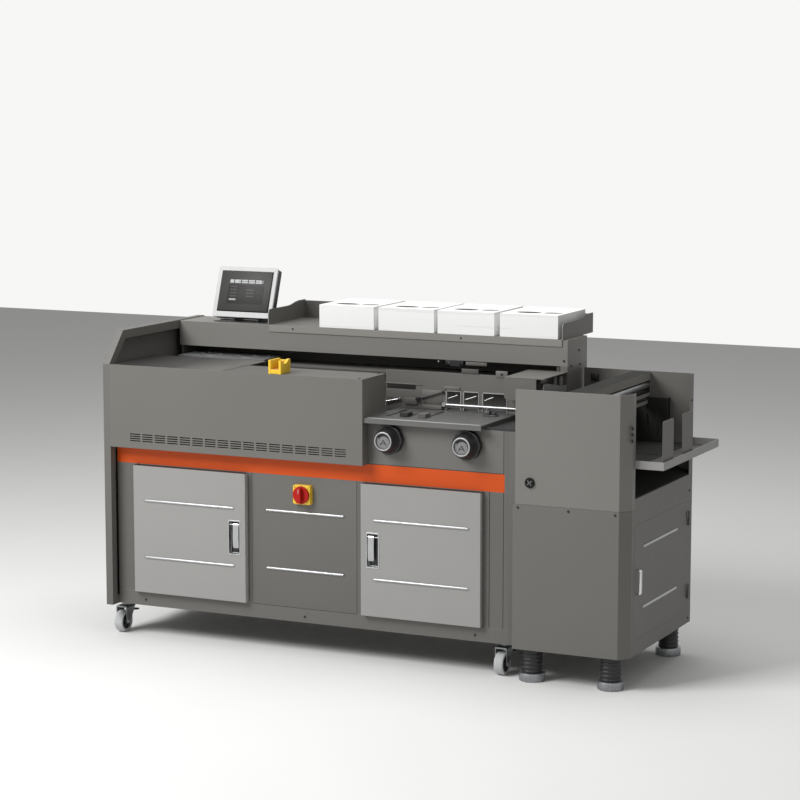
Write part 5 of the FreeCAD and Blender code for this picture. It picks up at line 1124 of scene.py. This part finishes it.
class BINDER_OT_touch_screen(bpy.types.Operator):
    """Case of the touch screen, its white front frame and lit display"""
    bl_idname = "binder.touch_screen"
    bl_label = "Touch screen"

    def execute(self, context):
        lean = Matrix.Translation((144, 500, 1071)) @ Matrix.Rotation(math.radians(-SCREEN_LEAN), 4, "X")
        mid, opening = (118.5, 92), (118.5, 94.5)
        case = Piece("touch_screen_case")
        window = [(209, 151, 3, 2.0), (207, 149, 3, 2.0), (207, 149, 3, 0.6), (208.6, 150.6, 3.4, 0.0)]
        border = [(234.4, 181.4, 7, 0.0), (237, 184, 8, 1.2), (237, 184, 8, 7.0), (235.6, 182.6, 7.5, 7.6)]
        case.add(loft([rounded_loop(*section, opening) for section in window]
                      + [rounded_loop(*section, mid) for section in border]), "white_moulding", lean)
        case.add(pressed([(235, 182, 7.5, 7.5), (233.6, 180.6, 7.5, 8.2), (233.6, 180.6, 7.5, 33), (226, 173, 8, 37.2),
                          (222, 169, 7.5, 38)], mid), "black_moulding", lean)
        case.block((76.5, 37.8, 12), (160.5, 54, 34), 2.0, "grey_moulding", lean)
        case.add(lathe([(0, 0), (11.6, 0), (12, 0.6), (12, 83.4), (11.6, 84), (0, 84)], 32), "grey_moulding",
                 lean @ placed(RIGHT, 76.5, 52, 21))
        for i in range(9):
            case.block((60 + 13 * i, 37.6, 122), (67 + 13 * i, 38.4, 150), 0.3, "black_moulding", lean)
        case.block((70, 37.6, 60), (167, 38.5, 104), 0.3, "pale_moulding", lean)
        lamp = [(0, -0.3), (1.6, -0.3), (1.3, 0.35), (0, 0.5)]
        case.add(lathe(lamp, 16), "lamp_green", lean @ placed(FRONT, 20, 0, 9))
        case.done("touch_screen", "white_plastic", "screen_housing")

        # black base of the screen; its dark top also stands in for the shade in the gap under the case
        base = Piece("touch_screen_base")
        base.block((146, 506, 1049.6), (374, 536, 1054.4), 1.0, "black_moulding")
        for x in (206, 319):
            cap_screw(base, x, 514, 1054.2, radius=2.4, height=1.6, finish="zinc")
        base.done("frame", "black_plastic")

        face = Piece("touch_screen_display")
        face.block((15.2, 0.75, 20.2), (221.8, 2.2, 168.8), 0.2, "lit_display", lean)
        face.done("touch_screen", "screen", "screen_glass")
        return {"FINISHED"}


# Clamp, works and bay ------------------------------------------------------


def cap_screw(piece, x, y, z, turn=UP, radius=5.0, height=5.0, finish="dull_steel"):
    """Socket cap screw with its washer, standing on a point."""
    piece.add(lathe([(0, 0), (radius * 1.55, 0), (radius * 1.55, 0.9), (0, 0.9)], 24), "dull_steel", turn, x, y, z)
    head = [(radius * 0.5, 0.8), (radius, 0.8), (radius, height - 0.6), (radius * 0.86, height),
            (radius * 0.52, height), (radius * 0.5, height - 0.3)]
    piece.add(lathe(head + [(radius * 0.46, height * 0.5), (0, height * 0.5), (0, 0.8)], 24), finish, turn, x, y, z)


class BINDER_OT_clamp(bpy.types.Operator):
    """Screws, lever pivots and grip pads of the clamp"""
    bl_idname = "binder.clamp"
    bl_label = "Clamp"

    def execute(self, context):
        top = Piece("clamp_screws")
        for x in (84, 142, 324, 382):
            cap_screw(top, x, 486, 938, height=4.2)
        for x in (130, 275):
            for dx in (9, 81):
                cap_screw(top, x + dx, 443, 942.8, radius=2.4, height=2.0)
            lens = arc(50, 49, 131, 12, (0, -37.7 + 4)) + arc(50, 229, 311, 12, (0, 37.7 + 4))[1:-1]
            top.add(plate(lens, 942.6, 943.9, 0.3), "matt_black", x=x + 45, y=438)
        for x in (96, 233, 370):
            top.block((x - 13, 404.2, 868), (x + 13, 405.4, 884), 0.3, "pale_moulding")
        top.done("clamp_carriage", "steel")

        jaw = Piece("clamp_jaw_screws")
        for x in (84, 158, 233, 308, 382):
            cap_screw(jaw, x, 327, 938, radius=3.6, height=3.6)
            cap_screw(jaw, x, 330, 862, FRONT, radius=4.2, height=4.4)
        jaw.done("clamp_jaw", "steel")
        return {"FINISHED"}


class BINDER_OT_bay(bpy.types.Operator):
    """Bay of the cover table: window frames, rods, brackets and scales"""
    bl_idname = "binder.bay"
    bl_label = "Cover table bay"

    def execute(self, context):
        bay = Piece("bay_frames")
        for x0, x1 in ((1153, 1204), (1215, 1269), (1284, 1370)):
            for low, high in (((x0 - 2.4, 297.6, 821), (x0 + 1.2, 300.4, 886.5)),
                              ((x1 - 1.2, 297.6, 821), (x1 + 2.4, 300.4, 886.5)),
                              ((x0 - 2.4, 297.6, 883), (x1 + 2.4, 300.4, 886.5))):
                bay.block(low, high, 0.7, "bracket_coat")
        bay.block((926, 297.2, 898.2), (1062, 300.2, 901), 0.6, "bay_coat")
        bay.block((1142, 296.4, 887.4), (1201, 300.3, 900), 1.0, "bay_coat")
        bay.block((1330, 297, 939), (1372, 300.3, 961), 1.0, "bay_coat")
        bay.add(drum(5, 0, 0.6), "mark_ink", FRONT, 1352, 297.2, 950)
        bay.block((1207, 297, 946), (1268, 300.3, 962), 1.0, "rail_coat")
        bay.block((1000, 294, 832), (1046, 300.4, 854), 1.4, "bay_coat")
        bay.block((1069, 286, 821.6), (1139, 300.3, 834), 1.4, "bay_coat")
        bay.block((1062, 298.6, 838), (1138, 300.3, 884), 1.0, "bay_coat")
        boss = [(0, 0), (7, 0), (7.4, 0.8), (7.4, 8), (6.2, 9.4), (0, 9.4)]
        bay.add(lathe(boss, 24), "black_moulding", FRONT, 1049, 298, 852)
        bay.add(rod_along([(1064, 293, 856), (1140, 293, 880)], 2.6), "black_moulding")
        for x, z in ((1064, 856), (1140, 880)):
            bay.add(drum(4, 0, 7, 20), "black_moulding", FRONT, x, 300, z)
        for x, z in ((1072, 843), (1130, 843), (1152, 894), (1190, 894)):
            cap_screw(bay, x, 298, z, FRONT, radius=2.4, height=2.0)
        bay.done("frame", "light_paint")

        trim = Piece("bay_rods")
        for x0, x1, z0, z1 in ((1152, 1190, 857, 871), (1219, 1259, 858, 872), (1286, 1320, 858, 872)):
            trim.add(rod_along([(x0, 304, z0), (x1, 304, z1)], 2.0), "satin_chrome")
        trim.add(rod_along([(931, 294, 836.5), (980, 294, 848.5)], 3.6), "chrome_plate")
        for x, z in ((931, 836.5), (980, 848.5)):
            trim.add(lathe([(0, 0), (4.6, 0), (4.6, 8), (3.8, 9), (0, 9)], 20), "bright_steel", FRONT, x, 300, z)
        trim.done("frame", "chrome")

        gear = Piece("bay_gear")
        gear.block((1318, 214, 821), (1366, 242, 825), 0.8, "rail_coat")
        gear.block((1322, 218, 825), (1342, 238, 839), 1.6, "dull_steel")
        gear.block((1348, 222, 825), (1362, 234, 833), 1.2, "black_moulding")
        knob = [(0, 0), (6.5, 0), (7, 0.6), (7, 6.4), (6.2, 7.4), (0, 7.4)]
        gear.add(lathe(knob, 32), "dull_steel", x=1332, y=228, z=838.5)
        cap_screw(gear, 1355, 218, 825, radius=2.2, height=2.4)
        for x in (1046, 1110, 1174):
            gear.block((x - 17, 192, 821), (x - 15.2, 262, 822.2), 0.4, "dull_steel")
        gear.block((996, 14, 821), (1396, 24, 821.6), 0.2, "pale_moulding")
        gear.done("frame", "steel")
        divisions = [at(x, 15.5 + (1.2 if k % 5 else 2.2), 821.7) for k, x in enumerate(range(1000, 1390, 10))]
        marks = block_tree("scale_ticks").grow("table_scale", divisions, Tick_Size=(0.0006, 0.004, 0.0002),
                                               Paint=MATERIALS["mark_ink"])
        settle(marks, "frame", "black_plastic")
        return {"FINISHED"}


class BINDER_OT_beam_fittings(bpy.types.Operator):
    """Sensor blocks, strip, inner side plate and white posts of the beam"""
    bl_idname = "binder.beam_fittings"
    bl_label = "Beam fittings"

    def execute(self, context):
        beam = Piece("beam_fittings")
        for low, high in ((1067, 1098), (1102, 1134)):
            beam.block((low, 476, 948), (high, 500, 965), 1.2, "black_moulding")
            cap_screw(beam, (low + high) / 2, 476.4, 956, FRONT, radius=2.6, height=2.0)
        for x in (1041, 1150, 1206):
            cap_screw(beam, x, 478, 958, FRONT, radius=2.6, height=2.0, finish="white_moulding")
        beam.block((1142, 477, 950), (1220, 479, 962), 0.3, "bay_coat")
        # painted light: the inner side plate lies in shade, so it takes the lighter bracket paint
        inner_side = [(268, 862), (471, 862), (471, 904), (430, 906), (370, 916), (300, 928), (268, 928)]
        beam.add(plate(inner_side, 1511.2, 1512.6, 0.4), "bracket_coat", SIDE)
        for x in (1478, 1498):
            beam.block((x - 5, 452, 905), (x + 5, 460, 934), 1.2, "white_moulding")
        beam.done("frame", "light_paint")
        return {"FINISHED"}


class BINDER_OT_feeder(bpy.types.Operator):
    """Feeder module: shaft, small blocks, latches and lock"""
    bl_idname = "binder.feeder"
    bl_label = "Cover feeder"

    def execute(self, context):
        inner = Piece("feeder_guides")
        # black block where the rear wall shows a small dark recess; it stands in for that recess's shade
        inner.block((1546, 606, 905), (1572, 614, 930), 1.0, "black_moulding")
        shaft = [(0, 0), (3.4, 0), (4, 0.6), (4, 600), (3.4, 600.6), (0, 600.6)]
        inner.add(lathe(shaft, 20), "dull_steel", REAR, 1745, 8, 930)
        inner.block((1700, 330, 718.6), (1890, 334, 720.4), 0.4, "black_moulding")
        inner.done("frame", "black_paint")

        small = Piece("module_latches")
        for z in (797, 817, 837):
            small.block((1905.8, 23, z), (1908.6, 35, z + 12), 0.9, "black_moulding")
            small.block((1908.2, 26, z + 2.5), (1911.4, 32, z + 9.5), 1.2, "black_moulding")
        small.done("frame", "black_plastic")

        seat = (FRONT, 1577, -0.3, 652)
        lock = Piece("lock_face")
        face = [(0, 0), (16, 0), (16.5, 0.6), (16.5, 3.6), (15.6, 5.2), (13.4, 6), (12.6, 5.6), (11.8, 4.6), (0, 4.6)]
        lock.add(lathe(face, 56), "matt_black", *seat)
        for low, high in (((-10.5, -1.7, 4.4), (10.5, 1.7, 5.6)), ((-1.7, -10.5, 4.4), (1.7, 10.5, 5.6))):
            lock.block(low, high, 0.5, "grey_moulding", FRONT @ Matrix.Rotation(0.7, 4, "Z"), *seat[1:])
        lock.add(drum(6, -9.6, 0.2), "turned_steel", *seat)
        lock.block((1569, 9, 644), (1603, 12, 660), 0.8, "zinc")
        lock.done("quarter_turn_lock", "black_plastic", "quarter_turn_lock")
        return {"FINISHED"}


# Castors and feet ----------------------------------------------------------


class BINDER_OT_castors(bpy.types.Operator):
    """Swivelling castors: pressed forks, wheels with hubs, brake pedals"""
    bl_idname = "binder.castors"
    bl_label = "Castors"

    def execute(self, context):
        for i in range(4):
            x, y = (16, 1451)[i % 2], (116, 590)[i // 2]
            wheel_y = y - 34
            name, axle = "castor_%d" % (i + 1), (RIGHT, x, wheel_y, AXLE_HEIGHT)
            wheel = Piece(name + "_tyre")
            tyre = mirrored([(27.5, -14.5), (33, -16), (35.6, -15.2), (37.2, -12), (37.5, -7)])
            wheel.add(lathe(tyre, 56, closed=True), "tread_rubber", *axle)
            hub = mirrored([(5.05, -16), (11, -16), (12, -15), (12.6, -9), (25, -9), (27, -11.5), (28.2, -11.5)])
            wheel.add(lathe(hub, 40, closed=True), "black_moulding", *axle)
            for k in range(5):
                turned = Matrix.Rotation(math.radians(72 * k), 4, "X")
                wheel.block((-12.5, -2.2, 12), (12.5, 2.2, 26), 0.8, "black_moulding", turned, x, wheel_y, AXLE_HEIGHT)
            wheel.done("castor_wheel_%d" % (i + 1), "tread", "castor_wheel_%d" % (i + 1))

            fork = Piece(name + "_pressed_fork")
            crown = [(0, 88.6), (19, 88.6), (20.2, 90), (20.2, 100), (18.6, 102.6), (16, 103.7), (0, 103.7)]
            fork.add(lathe(crown, 44), "zinc", x=x, y=y)
            fork.add(drum(8, 103.5, 110), "zinc", x=x, y=y)
            for side in (-1, 1):
                leg = [(wheel_y - 8.4, 31), (wheel_y - 5, 28.9), (wheel_y + 5, 28.9), (wheel_y + 8.4, 31),
                       (y - 4, 60), (y + 16, 91.6), (wheel_y - 14, 91.6), (wheel_y - 13.2, 70)]
                inner = side * 17.6
                low, high = sorted((inner, inner + side * 2.9))
                fork.add(plate(leg, low, high, 0.7), "zinc", SIDE, x)
                fork.add(lathe([(0, 0), (8.2, 0), (8.2, 2), (6.6, 3.6), (0, 3.8)], 6), "bright_zinc",
                         Matrix.Rotation(side * math.pi / 2, 4, "Y"), x + side * 20.4, wheel_y, AXLE_HEIGHT)
            bridge = [(-20.5, 86.5), (20.5, 86.5), (20.5, 90), (18.6, 91.7), (-18.6, 91.7), (-20.5, 90)]
            fork.add(plate(bridge, -(y + 16), -(wheel_y - 14), 0.6), "zinc", FRONT, x)
            fork.add(drum(4.95, -17.8, 17.8, 20), "bright_steel", *axle)
            fork.block((-14, y + 13, 66), (14, y + 16, 88.7), 0.8, "zinc", x=x)
            pedal = [(y + 15, 66), (y + 26, 65.8), (y + 46, 61.5), (y + 49.6, 62.6), (y + 49.6, 66.4), (y + 46, 67.8),
                     (y + 28, 71.4), (y + 15, 72)]
            fork.add(plate(pedal, -14, 14, 1.4), "black_moulding",
                     SIDE, x)
            fork.done("castor_fork_%d" % (i + 1), "galvanised", "castor_fork_%d" % (i + 1))
        return {"FINISHED"}


THREAD_PITCH = 3.15
SLEEVE_LENGTH = 0.0800      # metres


class BINDER_OT_feet(bpy.types.Operator):
    """Levelling feet: faceted pads, and ribbed sleeves above them"""
    bl_idname = "binder.feet"
    bl_label = "Levelling feet"

    def execute(self, context):
        sizes = context.scene.binder_sizes
        places = [(1566, 58), (1834, 58), (1578, 573), (1846, 573)]
        for i, (x, y) in enumerate(places):
            foot = Piece("foot_%d_pad" % (i + 1))
            pad = [(0, 0.2), (40.5, 0), (42.4, 1.0), (43, 3), (43, 24), (42, 27), (39.5, 28), (17, 28), (0, 28)]
            foot.add(lathe(pad, 12), "bright_zinc", x=x, y=y)
            foot.add(drum(15, 26, 28, 6), "bright_zinc", x=x, y=y)
            stem = [(0, 27.5)]
            for k in range(26):
                turn = 28 + THREAD_PITCH * k
                stem += [(12.0, turn), (10.9, turn + 1.55)]
            stem += [(12, 109.7), (0, 109.7)]
            foot.add(lathe(stem, 24), "bright_zinc", x=x, y=y)
            foot.done("foot_%d" % (i + 1), "galvanised", "foot_%d" % (i + 1))
        pitch = SLEEVE_LENGTH / sizes.sleeve_ribs
        ribs = rib_tree().grow("sleeve_ribs", [at(x, y, 29.2) for x, y in places], Count=sizes.sleeve_ribs,
                               Pitch=pitch, Rib_Radius=0.0338, Rib_Height=pitch * 0.62, Direction=(0, 0, 1),
                               Paint=MATERIALS["black_moulding"])
        smooth(ribs.data, 30)
        settle(ribs, "frame", "black_plastic")
        return {"FINISHED"}


# Fasteners -----------------------------------------------------------------


HEAD_LIFT = 0.4         # share of its own height that a head stands before its panel


def cover_screws():
    """Places of the cover screws: the way that they face, their plane, and the other two measures of each."""
    front, rear, left, right, up = (0, -1, 0), (0, 1, 0), (-1, 0, 0), (1, 0, 0), (0, 0, 1)
    return (
        (front, PANEL_FACE, [(x, 130) for x in (132, 750, 1371)]),
        (front, 472.6, [(484, 1043), (1127, 1042)]),
        (front, 474, [(1501, 983)]),
        (front, 0, [(1536, 570), (1708, 570), (1864, 570)]),
        (rear, 651, [(x, z) for x in (44, 390, 755, 785, 1130, 1470) for z in (130, 400, 670, 945)]),
        (rear, 617, [(x, z) for x in (1536, 1712, 1890) for z in (128, 400, 670, 930)]),
        (left, 0, [(y, z) for y in (24, 330, 628) for z in (128, 480)]
         + [(24, 800), (628, 820), (330, 1030), (628, 1030), (130, 1030)]),
        (right, 1514, [(577, 1010), (505, 964), (587, 962)]),
        (right, 1906, [(590, 128), (590, 560), (598, 700), (598, 860)]),
        (up, 948, [(40, 60), (40, 240), (970, 14), (970, 156)]),
        (up, 944, [(1700, 30), (1746, 30), (1700, 590), (1746, 590)]))


class BINDER_OT_fasteners(bpy.types.Operator):
    """Cover screws of the cabinet, beam and module"""
    bl_idname = "binder.fasteners"
    bl_label = "Fasteners"

    def execute(self, context):
        sizes = context.scene.binder_sizes
        tree = screw_tree()
        for k, (way, plane, places) in enumerate(cover_screws()):
            axis = [abs(part) for part in way].index(1)
            points = []
            for first, second in places:
                where = [first, second]
                where.insert(axis, plane)
                points.append(at(*where) + Vector(way) * sizes.screw_height * HEAD_LIFT)
            heads = tree.grow("cover_screws_%d" % (k + 1), points, Head_Radius=sizes.screw_radius,
                              Head_Height=sizes.screw_height, Direction=way, Paint=MATERIALS["mark_ink"])
            settle(heads, "frame", "steel")
        return {"FINISHED"}


# Add-on --------------------------------------------------------------------

GROUPS = (("binder_colours", BinderColours), ("binder_sizes", BinderSizes), ("binder_studio", BinderStudio))
STEPS = (BINDER_OT_finishes, BINDER_OT_cabinet, BINDER_OT_stage, BINDER_OT_door_furniture, BINDER_OT_yellow_parts,
         BINDER_OT_handwheels, BINDER_OT_touch_screen, BINDER_OT_clamp, BINDER_OT_bay, BINDER_OT_beam_fittings,
         BINDER_OT_feeder, BINDER_OT_castors, BINDER_OT_feet, BINDER_OT_fasteners)


class BINDER_PT_panel(bpy.types.Panel):
    """Sizes, colours and pieces of the binder"""
    bl_idname = "BINDER_PT_panel"
    bl_label = "Perfect Binder"
    bl_space_type = "VIEW_3D"
    bl_region_type = "UI"
    bl_category = "Binder"

    def draw(self, context):
        layout = self.layout
        for attribute, group in GROUPS:
            box = layout.box()
            for key in group.__annotations__:
                box.prop(getattr(context.scene, attribute), key)
        for step in STEPS:
            layout.operator(step.bl_idname)


def register():
    """Register the classes and hang the groups on the scene."""
    for attribute, group in GROUPS:
        bpy.utils.register_class(group)
        setattr(bpy.types.Scene, attribute, PointerProperty(type=group))
    for step in STEPS + (BINDER_PT_panel,):
        bpy.utils.register_class(step)


def unregister():
    """Take the classes and the groups away."""
    for step in (BINDER_PT_panel,) + STEPS[::-1]:
        bpy.utils.unregister_class(step)
    for attribute, group in GROUPS[::-1]:
        delattr(bpy.types.Scene, attribute)
        bpy.utils.unregister_class(group)


def main():
    """Dress the frame."""
    register()
    for step in STEPS:
        group, call = step.bl_idname.split(".")
        getattr(getattr(bpy.ops, group), call)()


if __name__ == "__main__":
    main()
